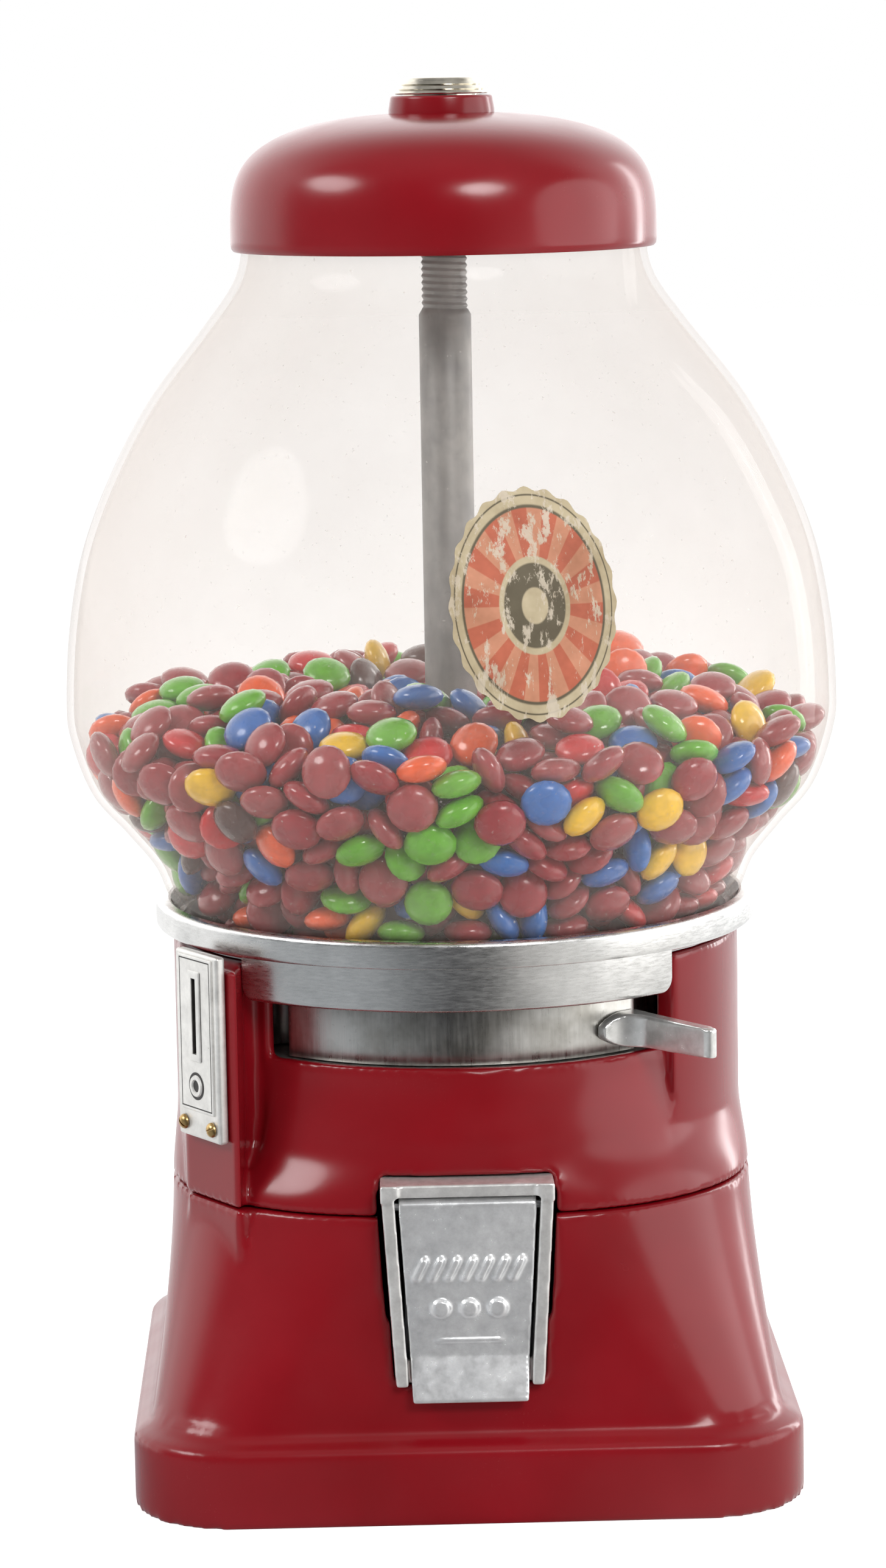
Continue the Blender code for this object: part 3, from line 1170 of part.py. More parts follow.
def build_flap():
    """Flap that hangs on the pin: a slightly bellied plate with a lip to lift it by."""
    face = []
    tall = FLAP_PIN_HEIGHT - FLAP_CREASE_HEIGHT
    for i in range(FLAP_STEPS + 1):
        share = i / FLAP_STEPS
        face.append((FLAP_BARREL * (1 - share) + FLAP_BELLY * math.sin(math.pi * share)
                     + FLAP_THICK * share, -tall * share))
    face.append((face[-1][0] + FLAP_LIP_PROUD, FLAP_LIP_HEIGHT - FLAP_PIN_HEIGHT))
    outline = [(out, drop) for out, drop in face]
    outline += [(out - FLAP_THICK, drop) for out, drop in reversed(face)]
    rings = []
    for side in (-1, 1):
        ring = []
        for out, drop in outline:
            height = FLAP_PIN_HEIGHT + drop
            half = frame_half(max(height, FRAME_LOW)) - FRAME_RAIL - FLAP_GAP
            ring.append((side * half, -out, drop))
        rings.append(ring)
    flap = loft("chute_flap", rings, mat=aluminium("flap_aluminium"))
    barrel_half = frame_half(FLAP_PIN_HEIGHT) - FRAME_RAIL - FLAP_GAP
    barrel = cylinder("flap_barrel", FLAP_BARREL, -barrel_half, barrel_half,
                      steps=SMALL_STEPS // 2, cutter=True)
    barrel.rotation_euler = (0, 90 * DEG, 0)
    barrel.parent = flap
    join(flap, barrel)
    bore = cylinder("flap_bore", FLAP_PIN_RADIUS + GAP, -FRAME_TOP_WIDTH, FRAME_TOP_WIDTH,
                    steps=SMALL_STEPS // 2, cutter=True)
    bore.rotation_euler = (0, 90 * DEG, 0)
    bore.parent = flap
    cut(flap, bore)
    flap.location = (0, -FLAP_PIN_DISTANCE, FLAP_PIN_HEIGHT)


def build_duct():
    """Sheet duct from the drop hole down to the frame's mouth."""
    top = DECK_HEIGHT - DECK_THICK - GAP
    front_low = FRAME_LOW + FRAME_RAIL + GAP
    front_high = FRAME_TOP - FRAME_RAIL - 2 * GAP
    back = POCKET_DISTANCE - DUCT_TOP_HALF
    fore = POCKET_DISTANCE + DUCT_TOP_HALF
    mouth = FRAME_BACK - GAP
    fall = top - front_high
    sections = ((DUCT_TOP_HALF, (back, top), (fore, top)),
                (DUCT_TOP_HALF, (back, top - fall / 2), (fore, top - fall / 3)),
                (DUCT_FRONT_HALF, ((back + mouth) / 2, (top + front_low) / 2), (fore, front_high)),
                (DUCT_FRONT_HALF, (mouth, front_low), (mouth, front_high)))
    outer, inner = [], []
    for half, rear, fore_edge in sections:
        outer.append(duct_ring(half, rear, fore_edge, 0.0))
        inner.append(duct_ring(half, rear, fore_edge, DUCT_SHEET))
    loft("chute_duct", outer + inner[::-1], closed=True, mat=steel("duct_zinc"))


def duct_ring(half, rear, fore, sheet):
    """Four corners of a duct section between its rear and fore edges."""
    slope = (Vector(fore) - Vector(rear)).normalized() * sheet
    rear_edge = Vector(rear) + slope
    fore_edge = Vector(fore) - slope
    side = half - sheet
    return [(-side, -rear_edge.x, rear_edge.y), (side, -rear_edge.x, rear_edge.y),
            (side, -fore_edge.x, fore_edge.y), (-side, -fore_edge.x, fore_edge.y)]


def build_candy():
    """Plain solid of the candy heap, with a dip round the rod."""
    low = PAN_FLOOR + PAN_SHEET + GAP
    neck = PAN_WALL_RADIUS - PAN_SHEET - CANDY_WALL_GAP
    wall = [point for point in inset(globe_bore(), CANDY_WALL_GAP)
            if GLOBE_LOW + OVERRUN < point.y < CANDY_TOP]
    bore = ROD_RADIUS + CANDY_WALL_GAP
    rim = wall[-1].x
    surface = [(bore + (rim - bore) * share,
                CANDY_CRATER + (CANDY_TOP - CANDY_CRATER) * share ** 0.5)
               for share in CANDY_SURFACE_SHARES]
    profile = surface + [tuple(point) for point in reversed(wall[:-1])]
    profile += [(neck, GLOBE_LOW), (neck, low), (bore, low)]
    heap = revolve("candy_heap", profile, CANDY_STEPS,
                   mat=material("candy_shell", (0.30, 0.05, 0.05), 0.4))
    room = box("brush_room", (-BRUSH_FOOT - GAP, -POCKET_DISTANCE - BRUSH_LENGTH / 2 - 2 * GAP,
                              low - OVERRUN),
               (BRUSH_WIDTH + 2 * GAP, -POCKET_DISTANCE + BRUSH_LENGTH / 2 + 2 * GAP,
                low + BRUSH_HOLDER_HEIGHT + 2 * GAP), cutter=True)
    turned(room, POCKET_AZIMUTH - BRUSH_TURN)
    cut(heap, room)


def smooth_shading():
    """Round pieces shade smooth between their sharp edges."""
    for obj in parts.objects:
        if obj.type == "MESH":
            obj.data.shade_smooth()
            obj.data.set_sharp_from_angle(angle=35 * DEG)


def main():
    clear_scene()
    build_lower_base()
    build_upper_body()
    build_base_plate()
    build_rod()
    build_deck()
    build_wheel()
    build_lever()
    build_spring()
    build_pawl()
    build_coin_plate()
    build_hopper()
    build_collar()
    build_globe()
    build_lid()
    build_lock()
    build_chute_frame()
    build_flap()
    build_duct()
    build_candy()
    smooth_shading()


main()
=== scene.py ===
"""Looks of the countertop candy machine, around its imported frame.

Metres, +Z up, the customer on the -Y side. Azimuths are measured from the front,
positive towards +X. Sizes that the frame doesn't give repeat the part's own values.
"""
import math
import random

import bmesh
import bpy
from mathutils import Matrix, Quaternion, Vector


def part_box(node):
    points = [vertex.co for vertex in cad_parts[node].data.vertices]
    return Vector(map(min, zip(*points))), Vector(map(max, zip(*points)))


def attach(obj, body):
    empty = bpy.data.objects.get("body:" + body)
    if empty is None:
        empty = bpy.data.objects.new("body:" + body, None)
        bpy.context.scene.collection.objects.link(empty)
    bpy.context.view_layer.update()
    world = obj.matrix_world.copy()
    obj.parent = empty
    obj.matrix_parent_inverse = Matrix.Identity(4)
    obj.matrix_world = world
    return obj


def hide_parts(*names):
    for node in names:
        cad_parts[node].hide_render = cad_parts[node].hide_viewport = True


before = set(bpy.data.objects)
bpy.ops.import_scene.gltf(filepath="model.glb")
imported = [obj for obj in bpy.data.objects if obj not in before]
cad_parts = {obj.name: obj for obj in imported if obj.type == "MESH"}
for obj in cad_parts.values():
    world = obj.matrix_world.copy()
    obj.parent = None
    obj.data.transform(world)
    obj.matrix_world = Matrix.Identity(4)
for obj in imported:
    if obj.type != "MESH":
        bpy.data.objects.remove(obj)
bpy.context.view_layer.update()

MM = 0.001
DEG = math.pi / 180
FULL_TURN = 2 * math.pi
OVERRUN = 3 * MM
GAP = 0.3 * MM

# Castings
BODY_RADIUS = 77.2 * MM
BODY_WALL = 6.2 * MM
SEAM_HALF = 78.2 * MM
SEAM_CORNER = 60 * MM
SEAM_HEIGHT = 80 * MM
BODY_ROUND_HEIGHT = 98 * MM
LIP_HEIGHT = 118 * MM
LIP_RADIUS = 74 * MM
BODY_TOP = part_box("upper_body")[1].z
WALL_FOOT_HALF = 83.6 * MM
FOOT_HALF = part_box("lower_base")[1].x
FOOT_CORNER = 28 * MM
PLINTH_HEIGHT = 18.5 * MM
PLINTH_ROUND = 2.6 * MM
LEDGE_RISE = 1.2 * MM
COVE_RADIUS = 2.4 * MM
BASE_WALL = 4.6 * MM
WALL_EASE_POWER = 1.7
CORNER_STEPS = 40
LEDGE_WIDTH = 4.5 * MM
LEDGE_THICK = 5 * MM
COVE_SHARE = 0.6
POST_FOOT_HEIGHT = 46 * MM
UPPER_VOXEL = 1.0 * MM
LOWER_VOXEL = 1.3 * MM

# Coin post and plate
POST_AZIMUTH = -57.2 * DEG
POST_DISTANCE = 86.5 * MM
POST_RIGHT = 25.1 * MM
POST_LEFT = -2.0 * MM
POST_FLANK_LEAN = 1.8 * MM
POST_FLANK_DEPTH = 13.7 * MM
PLATE_LEFT = 0.2 * MM
PLATE_WIDTH = 20.8 * MM
PLATE_MIDDLE = PLATE_LEFT + PLATE_WIDTH / 2
PLATE_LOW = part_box("coin_plate")[0].z
PLATE_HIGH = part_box("coin_plate")[1].z
PLATE_THICK = 2.9 * MM
SLIT_LOW = 120.1 * MM
SLIT_HIGH = 140.4 * MM
SLIT_WIDTH = 2.1 * MM
PLATE_PANEL_RISE = 7.4 * MM
CHANNEL_HALF = 1.9 * MM
CHANNEL_DEPTH = 8 * MM
CHANNEL_LOW = 117.6 * MM
CHANNEL_HIGH = 142.7 * MM

# Window and wheel
WINDOW_LEFT = -43.7 * DEG
WINDOW_RIGHT = 46.6 * DEG
FLANK_AZIMUTH = -46.6 * DEG
PANEL_LEFT = FLANK_AZIMUTH + 2.6 * DEG
PANEL_RIGHT = WINDOW_RIGHT - 0.2 * DEG
PANEL_DEPTH_SHARES = ((-0.16, -0.12), (0.0, 0.0), (0.3, 0.42), (0.6, 0.76), (0.94, 0.98), (1.1, 1.0))
VALLEY_LEFT = FLANK_AZIMUTH - 1.5 * DEG
VALLEY_RIGHT = FLANK_AZIMUTH + 2.9 * DEG
VALLEY_DEPTH = 2.9 * MM
VALLEY_DEPTH_SHARES = (
    (-0.7, -2.6), (-0.5, -1.5), (-0.25, 0.07), (0.0, 0.69), (0.3, 0.93), (0.7, 1.0),
)
APRON_LEFT = WINDOW_LEFT + 2.3 * DEG
APRON_RIGHT = WINDOW_RIGHT - 5.3 * DEG
APRON_RADIUS = 69 * MM
WHEEL_RADIUS = 62 * MM
WHEEL_LOW = 117.9 * MM
WHEEL_HIGH = 133.5 * MM
HUB_RADIUS = 11 * MM
HUB_LOW = 97 * MM
ROD_RADIUS = 7.05 * MM
POCKET_RADIUS = 13.6 * MM
POCKET_DISTANCE = 43 * MM
POCKET_AZIMUTH = 68 * DEG
COIN_NOTCH_AZIMUTH = -49.2 * DEG
COIN_NOTCH_RADIUS = 5 * MM
LEVER_AZIMUTH = 39.4 * DEG
LEVER_TIP = 102 * MM
LEVER_LOW = 119.8 * MM
LEVER_HEIGHT = 9 * MM
LEVER_TIP_HEIGHT = 7.8 * MM
LEVER_THICK = 4.4 * MM
LEVER_TIP_THICK = 3.6 * MM
LEVER_FOOT_LEFT = 8.4 * MM
LEVER_FOOT_THICK = 2.4 * MM
LEVER_FILLET = 8.2 * MM
LEVER_FOOT_TAPER = 3.2 * MM
LEVER_TAPER_POWER = 2.5

# Collar with its skirt
COLLAR_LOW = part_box("collar_ring")[1].z - 7.5 * MM
COLLAR_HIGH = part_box("collar_ring")[1].z
COLLAR_RADIUS = 81.8 * MM
COLLAR_EDGE_RADIUS = 80 * MM
COLLAR_SEAT_RADIUS = 76.6 * MM
COLLAR_SEAT = COLLAR_LOW + 1.5 * MM
COLLAR_BORE = 66.4 * MM
COLLAR_BEAD = 1.5 * MM
SKIRT_LOW = COLLAR_LOW - 11 * MM
SKIRT_RADIUS = 81.3 * MM
SKIRT_INNER = 77.6 * MM
SKIRT_LEFT = -45 * DEG
SKIRT_RIGHT = 42.8 * DEG
SKIRT_CORNER = 3 * MM
SKIRT_ROLL = 1.3 * MM

# Globe, lid, lock and rod
GLOBE_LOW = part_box("globe")[0].z
GLOBE_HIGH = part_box("globe")[1].z
GLOBE_RADIUS = 104.5 * MM
GLOBE_FOOT_RADIUS = 74 * MM
GLOBE_NECK_RADIUS = 54.3 * MM
GLOBE_WALL = 2.0 * MM
GLOBE_FOOT_SHARES = (
    (0.0, 0.0), (0.03, 0.137), (0.08, 0.27), (0.135, 0.531), (0.19, 0.806), (0.27, 0.976), (0.33, 1.0),
)
GLOBE_NECK_SHARES = (
    (0.436, 0.971), (0.545, 0.892), (0.655, 0.733), (0.764, 0.514), (0.868, 0.221), (0.923, 0.073),
    (0.96, 0.015), (1.0, 0.0),
)
LID_RADIUS = 57.2 * MM
LID_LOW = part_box("lid")[0].z
LID_DOME_HIGH = LID_LOW + 36.1 * MM
LID_BOSS_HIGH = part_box("lid")[1].z
LID_BOSS_RADIUS = 14.2 * MM
LID_WALL = 3.2 * MM
LOCK_SHANK_RADIUS = 10.2 * MM
LOCK_BASE_RADIUS = 12.6 * MM
LOCK_TOP_RADIUS = 10.7 * MM
LOCK_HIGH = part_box("lock_nut")[1].z
LOCK_PLUG_RADIUS = 5.6 * MM
ROD_THREAD_RADIUS = 6.25 * MM
ROD_SHOULDER_HEIGHT = 311 * MM

# Chute frame and flap
FRAME_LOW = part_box("chute_frame")[0].z
FRAME_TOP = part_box("chute_frame")[1].z
FRAME_FRONT = 85.6 * MM
FRAME_BACK = 73 * MM
FRAME_TOP_WIDTH = 45.2 * MM
FRAME_LOW_WIDTH = 38.7 * MM
FRAME_RAIL = 3.35 * MM
FRAME_KNUCKLE = 4.6 * MM
FRAME_KNUCKLE_PROUD = 0.6 * MM
FRAME_SLOT_RISE = 15.8 * MM
FRAME_SLOT_SLACK = 1.3 * MM
SILL_FRONT = 81 * MM
FLAP_PIN_HEIGHT = 83.6 * MM
FLAP_PIN_DISTANCE = 81.6 * MM
FLAP_CREASE_HEIGHT = 44.5 * MM
FLAP_LIP_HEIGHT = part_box("chute_flap")[0].z
FLAP_THICK = 2 * MM
FLAP_BARREL = 2.3 * MM
FLAP_BELLY = 1.3 * MM
FLAP_LIP_PROUD = 4.2 * MM
FLAP_GAP = 0.95 * MM
FLAP_BORE = 1.4 * MM
FLAP_TALL = FLAP_PIN_HEIGHT - FLAP_CREASE_HEIGHT

# Label on the glass, its flat coordinates reach past its edge on each side
LABEL_AZIMUTH = 10.9 * DEG
LABEL_HEIGHT = 241.6 * MM
LABEL_HALF_WIDE = 21.5 * MM
LABEL_HALF_TALL = 28.6 * MM
LABEL_LIFTS = (0.05 * MM, 0.22 * MM)
LABEL_REACH = 1.1
LABEL_RAYS = 14.0
SCALLOPS = 24
SCALLOP_DEPTH = 0.018

# Candy
PAN_TOP = 136.2 * MM
PAN_BORE = 65.8 * MM
LENTIL_RADIUS = 6.75 * MM
LENTIL_HALF = 3.45 * MM
CORE_SHELL = 21 * MM
CORE_HEIGHTS = tuple(height * MM for height in (137, 150, 160, 170, 180, 188, 194))
DROP_STEP = 12.3 * MM
DROP_RISE = 9.6 * MM
DROP_MARGIN = 7.8 * MM
DROP_LOW = 144.5 * MM
DROP_HIGH = 266 * MM
DROP_CLEAR_OF_ROD = 15.5 * MM
DROP_JITTER = 0.6
HEAP_MIDDLE = 213
HEAP_RIM_RISE = 50
HEAP_RIM_RADIUS = 84 * MM


def on_azimuth(azimuth, distance):
    return Vector((distance * math.sin(azimuth), -distance * math.cos(azimuth)))


def rounded_square(half, corner, height):
    """A ring with four corner arcs; with the corner as large as the half it is a circle."""
    ring = []
    for quarter in range(4):
        turn = Matrix.Rotation(quarter * math.pi / 2, 2)
        middle = Vector((half - corner, half - corner))
        for i in range(CORNER_STEPS + 1):
            angle = i * math.pi / 2 / CORNER_STEPS
            point = middle + corner * Vector((math.cos(angle), math.sin(angle)))
            point.rotate(turn)
            ring.append((point.x, point.y, height))
    return ring


def smooth_curve(points, per_span):
    """A Catmull-Rom curve through points."""
    padded = [points[0], *points, points[-1]]
    curve = []
    for i in range(1, len(padded) - 2):
        a, b, c, d = (Vector(padded[i + k]) for k in (-1, 0, 1, 2))
        for step in range(per_span):
            t = step / per_span
            curve.append(0.5 * (2 * b + (c - a) * t + (2 * a - 5 * b + 4 * c - d) * t ** 2
                                + (3 * b - a - 3 * c + d) * t ** 3))
    curve.append(Vector(points[-1]))
    return curve


def inset(curve, distance):
    """Move an open (radius, height) curve to its inner side."""
    moved = []
    for i, point in enumerate(curve):
        along = (curve[min(i + 1, len(curve) - 1)] - curve[max(i - 1, 0)]).normalized()
        moved.append(point + distance * Vector((-abs(along.y), along.x)))
    return moved


def arc(centre, radius, start, end, steps):
    """Points of an arc in a (radius, height) plane, angles in degrees."""
    return [(centre[0] + radius * math.cos((start + (end - start) * i / steps) * DEG),
             centre[1] + radius * math.sin((start + (end - start) * i / steps) * DEG))
            for i in range(steps + 1)]


def linked(name, data):
    obj = bpy.data.objects.new(name, data)
    bpy.context.scene.collection.objects.link(obj)
    return obj


def new_object(name, bm):
    bmesh.ops.recalc_face_normals(bm, faces=bm.faces)
    mesh = bpy.data.meshes.new(name)
    bm.to_mesh(mesh)
    bm.free()
    return linked(name, mesh)


def loft(name, rings, closed=False):
    """Skin rings of equal count; a closed loft joins its last ring to its first."""
    bm = bmesh.new()
    levels = [[bm.verts.new(point) for point in ring] for ring in rings]
    count = len(levels[0])
    spans = len(levels) if closed else len(levels) - 1
    for i in range(spans):
        low, high = levels[i], levels[(i + 1) % len(levels)]
        for j in range(count):
            k = (j + 1) % count
            bm.faces.new((low[j], low[k], high[k], high[j]))
    if not closed:
        bm.faces.new(levels[0])
        bm.faces.new(levels[-1])
    bmesh.ops.remove_doubles(bm, verts=bm.verts, dist=0.01 * MM)
    bmesh.ops.dissolve_degenerate(bm, edges=bm.edges, dist=0.01 * MM)
    return new_object(name, bm)


def prism(name, outline, low, high):
    return loft(name, [[(x, y, low) for x, y in outline], [(x, y, high) for x, y in outline]])


def box(name, low, high):
    outline = [(low[0], low[1]), (high[0], low[1]), (high[0], high[1]), (low[0], high[1])]
    return prism(name, outline, low[2], high[2])


def circle(radius, height, steps, centre=(0, 0)):
    return [(centre[0] + radius * math.cos(FULL_TURN * i / steps),
             centre[1] + radius * math.sin(FULL_TURN * i / steps), height) for i in range(steps)]


def cylinder(name, radius, low, high, centre=(0, 0), steps=64):
    return loft(name, [circle(radius, height, steps, centre) for height in (low, high)])


def revolve(name, profile, steps=128, closed=True):
    """Turn a (radius, height) outline round the axis; a point on the axis closes to one."""
    rings = [circle(radius, height, steps) for radius, height in profile]
    if closed:
        return loft(name, rings, closed=True)
    bm = bmesh.new()
    levels = []
    for ring in rings:
        if ring[0][0] == 0:
            levels.append([bm.verts.new((0, 0, ring[0][2]))] * steps)
        else:
            levels.append([bm.verts.new(point) for point in ring])
    for low, high in zip(levels, levels[1:]):
        for j in range(steps):
            k = (j + 1) % steps
            corners = list(dict.fromkeys((low[j], low[k], high[k], high[j])))
            if len(corners) > 2:
                bm.faces.new(corners)
    return new_object(name, bm)


def sector(inner, outer, start, end, steps):
    angles = [start + (end - start) * i / steps for i in range(steps + 1)]
    return ([on_azimuth(angle, outer) for angle in angles]
            + [on_azimuth(angle, inner) for angle in reversed(angles)])


def combine(obj, operation, *others):
    for other in others:
        mod = obj.modifiers.new(operation, "BOOLEAN")
        mod.operation = operation
        mod.object = other
        mod.solver = "EXACT"
    bake_mesh(obj)
    for other in others:
        bpy.data.objects.remove(other)
    return obj


def bake_mesh(obj):
    """Put an object's modifiers and place into its mesh."""
    bpy.context.view_layer.update()
    graph = bpy.context.evaluated_depsgraph_get()
    mesh = bpy.data.meshes.new_from_object(obj.evaluated_get(graph), depsgraph=graph)
    mesh.transform(obj.matrix_world)
    old = obj.data
    obj.modifiers.clear()
    obj.data = mesh
    obj.matrix_world = Matrix.Identity(4)
    bpy.data.meshes.remove(old)
    return obj


def join(obj, *others):
    return combine(obj, "UNION", *others)


def cut(obj, *others):
    return combine(obj, "DIFFERENCE", *others)


def bevel(obj, width, segments=3, angle=35):
    mod = obj.modifiers.new("rounded", "BEVEL")
    mod.width = width
    mod.segments = segments
    mod.limit_method = "ANGLE"
    mod.angle_limit = angle * DEG
    mod.harden_normals = False
    return bake_mesh(obj)


def relax(obj, passes, weight_at=None):
    """Smooth a mesh, everywhere alike or by a weight for each place."""
    mod = obj.modifiers.new("soft", "SMOOTH")
    mod.factor = 0.5
    mod.iterations = passes
    if weight_at:
        group = obj.vertex_groups.new(name="soft")
        for vert in obj.data.vertices:
            weight = weight_at(vert.co)
            if weight > 0:
                group.add([vert.index], min(weight, 1.0), "REPLACE")
        mod.vertex_group = group.name
    bake_mesh(obj)
    obj.vertex_groups.clear()


def soften(obj, voxel, passes, weight_at=None):
    """Round every edge a little, as a casting or a polished part has it."""
    remesh = obj.modifiers.new("even", "REMESH")
    remesh.mode = "VOXEL"
    remesh.voxel_size = voxel
    bake_mesh(obj)
    relax(obj, passes, weight_at)
    obj.data.shade_smooth()
    return obj


def crisp_seam(spot):
    """Keep the parting line's edges sharper than the rest."""
    return 0.15 + abs(spot.z - SEAM_HEIGHT) / (3 * MM)


def gather(name, objects):
    """One object with the closed meshes of several."""
    bm = bmesh.new()
    for obj in objects:
        bm.from_mesh(obj.data)
        bpy.data.objects.remove(obj)
    return new_object(name, bm)


def turned(obj, azimuth, distance=0.0):
    x, y = on_azimuth(azimuth, distance)
    obj.matrix_world = Matrix.Translation((x, y, 0)) @ Matrix.Rotation(azimuth, 4, "Z")
    return bake_mesh(obj)


def laid_over(obj, axis, spot):
    """Turn a form that was made round Z by a quarter, and move it to its spot."""
    obj.matrix_world = Matrix.Translation(spot) @ Matrix.Rotation(math.pi / 2, 4, axis)
    return bake_mesh(obj)


def shade(obj, angle=35):
    obj.data.shade_smooth()
    obj.data.set_sharp_from_angle(angle=angle * DEG)
    return obj


def coat(obj, finish):
    obj.data.materials.clear()
    obj.data.materials.append(MATERIALS[finish])


def place(obj, body, finish, slot, *nodes):
    """Ride on a body, take a finish, and stand for CAD nodes; the slot argument is not used."""
    coat(obj, finish)
    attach(obj, body)
    if nodes:
        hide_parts(*nodes)
    return obj


def node(tree, kind, inputs=None, **values):
    """Add a shader node; an input takes a value or another node's socket."""
    made = tree.nodes.new("ShaderNode" + kind)
    for name, value in values.items():
        setattr(made, name, value)
    for name, value in (inputs or {}).items():
        socket = made.inputs[name]
        if isinstance(value, bpy.types.NodeSocket):
            tree.links.new(value, socket)
        else:
            socket.default_value = value
    return made


def new_material(name, roughness, metallic=0.0):
    mat = bpy.data.materials.new(name)
    mat.use_nodes = True
    tree = mat.node_tree
    bsdf = tree.nodes["Principled BSDF"]
    bsdf.inputs["Roughness"].default_value = roughness
    bsdf.inputs["Metallic"].default_value = metallic
    return mat, tree, bsdf


def noise(tree, scale, detail=3.0, stretch=(1, 1, 1), roughness=0.5):
    """Noise over the object's own space; stretch above 1 makes it finer that way."""
    place_of = node(tree, "TexCoord")
    mapped = node(tree, "Mapping", {"Vector": place_of.outputs["Object"], "Scale": stretch})
    made = node(tree, "TexNoise", {"Vector": mapped.outputs["Vector"], "Scale": scale,
                                   "Detail": detail, "Roughness": roughness})
    return made.outputs["Fac"]


def ramp(tree, factor, *stops):
    """A colour ramp; a stop is a place and a grey or a colour."""
    made = node(tree, "ValToRGB", {"Fac": factor})
    elements = made.color_ramp.elements
    while len(elements) < len(stops):
        elements.new(0.5)
    for element, (at, color) in zip(elements, stops):
        element.position = at
        shades = (color, color, color) if isinstance(color, (int, float)) else color
        element.color = (*shades, 1.0)
    return made.outputs["Color"]


def mix(tree, factor, first, second, blend="MIX"):
    made = node(tree, "Mix", data_type="RGBA", blend_type=blend)
    for index, value in ((0, factor), (6, first), (7, second)):
        socket = made.inputs[index]
        if isinstance(value, bpy.types.NodeSocket):
            tree.links.new(value, socket)
        elif index == 0:
            socket.default_value = value
        else:
            socket.default_value = (*value, 1.0)
    return made.outputs[2]


def math_node(tree, operation, first, second=0.0, third=0.0, clamp=False):
    made = node(tree, "Math", {0: first, 1: second, 2: third}, operation=operation, use_clamp=clamp)
    return made.outputs[0]


def bump(tree, bsdf, height, strength, distance):
    made = node(tree, "Bump", {"Height": height, "Strength": strength, "Distance": distance})
    tree.links.new(made.outputs["Normal"], bsdf.inputs["Normal"])
    return made


def connect(tree, source, bsdf, name):
    tree.links.new(source, bsdf.inputs[name])


def surface(tree, shader):
    tree.links.new(shader.outputs[0], tree.nodes["Material Output"].inputs["Surface"])


def to_share(tree, value):
    """From a range of -1 to 1 to a share of 0 to 1."""
    return math_node(tree, "MULTIPLY_ADD", value, 0.5, 0.5)


def rays_seen(tree):
    """The light path, and whether a ray comes from the camera or on through the glass."""
    path = node(tree, "LightPath")
    return path, math_node(tree, "MAXIMUM", path.outputs["Is Camera Ray"],
                           path.outputs["Is Transmission Ray"])


def enamel():
    """Deep red stoved enamel: slightly uneven gloss, faint orange peel, a few pale scuffs."""
    mat, tree, bsdf = new_material("red_enamel_visual", 0.2)
    cloud = noise(tree, 22, 3)
    base = ramp(tree, cloud, (0.3, (0.19, 0.003, 0.0065)), (0.7, (0.235, 0.0042, 0.0095)))
    speck = noise(tree, 1500, 2, roughness=0.7)
    patch = noise(tree, 34, 2)
    worn = math_node(tree, "MULTIPLY", ramp(tree, speck, (0.66, 0.0), (0.74, 1.0)),
                     ramp(tree, patch, (0.55, 0.0), (0.72, 1.0)))
    color = mix(tree, math_node(tree, "MULTIPLY", worn, 0.15), base, (0.42, 0.13, 0.12))
    connect(tree, color, bsdf, "Base Color")
    connect(tree, ramp(tree, noise(tree, 55, 4), (0.3, 0.19), (0.75, 0.28)), bsdf, "Roughness")
    bsdf.inputs["Specular IOR Level"].default_value = 0.32
    bsdf.inputs["Coat Weight"].default_value = 0.11
    bsdf.inputs["Coat Roughness"].default_value = 0.13
    bump(tree, bsdf, noise(tree, 420, 3), 0.2, 0.05 * MM)
    return mat


def metal(name, light, dark, roughness, grain=(1, 1, 1), fine=420, cloud_scale=45, wear=0.0,
          metallic=1.0, spread=0.12):
    """Metal with a grain along its uncut direction, cloudy tone and fine scratches."""
    mat, tree, bsdf = new_material(name, roughness, metallic)
    cloud = noise(tree, cloud_scale, 4, roughness=0.6)
    lines = noise(tree, fine, 4, stretch=grain, roughness=0.7)
    tone = ramp(tree, cloud, (0.32, dark), (0.62, light))
    streaked = mix(tree, 0.55, tone, ramp(tree, lines, (0.25, 0.55), (0.65, 1.0)), "MULTIPLY")
    if wear:
        pits = ramp(tree, noise(tree, 700, 3, roughness=0.8), (0.62, 1.0), (0.72, 0.35))
        streaked = mix(tree, wear, streaked, pits, "MULTIPLY")
    connect(tree, streaked, bsdf, "Base Color")
    rough = ramp(tree, lines, (0.25, max(roughness - spread, 0.03)), (0.8, roughness + spread))
    connect(tree, rough, bsdf, "Roughness")
    bump(tree, bsdf, lines, 0.25, 0.04 * MM)
    return mat


def plain_finish(name, light, dark, roughness, scale, depth):
    """A mottled finish for rubber, fibre and other dull stuff."""
    mat, tree, bsdf = new_material(name, roughness)
    grain = noise(tree, scale, 4, roughness=0.6)
    connect(tree, ramp(tree, grain, (0.3, dark), (0.7, light)), bsdf, "Base Color")
    rough = ramp(tree, grain, (0.2, max(roughness - 0.1, 0.05)), (0.8, min(roughness + 0.1, 1.0)))
    connect(tree, rough, bsdf, "Roughness")
    bump(tree, bsdf, grain, 0.3, depth * MM)
    return mat


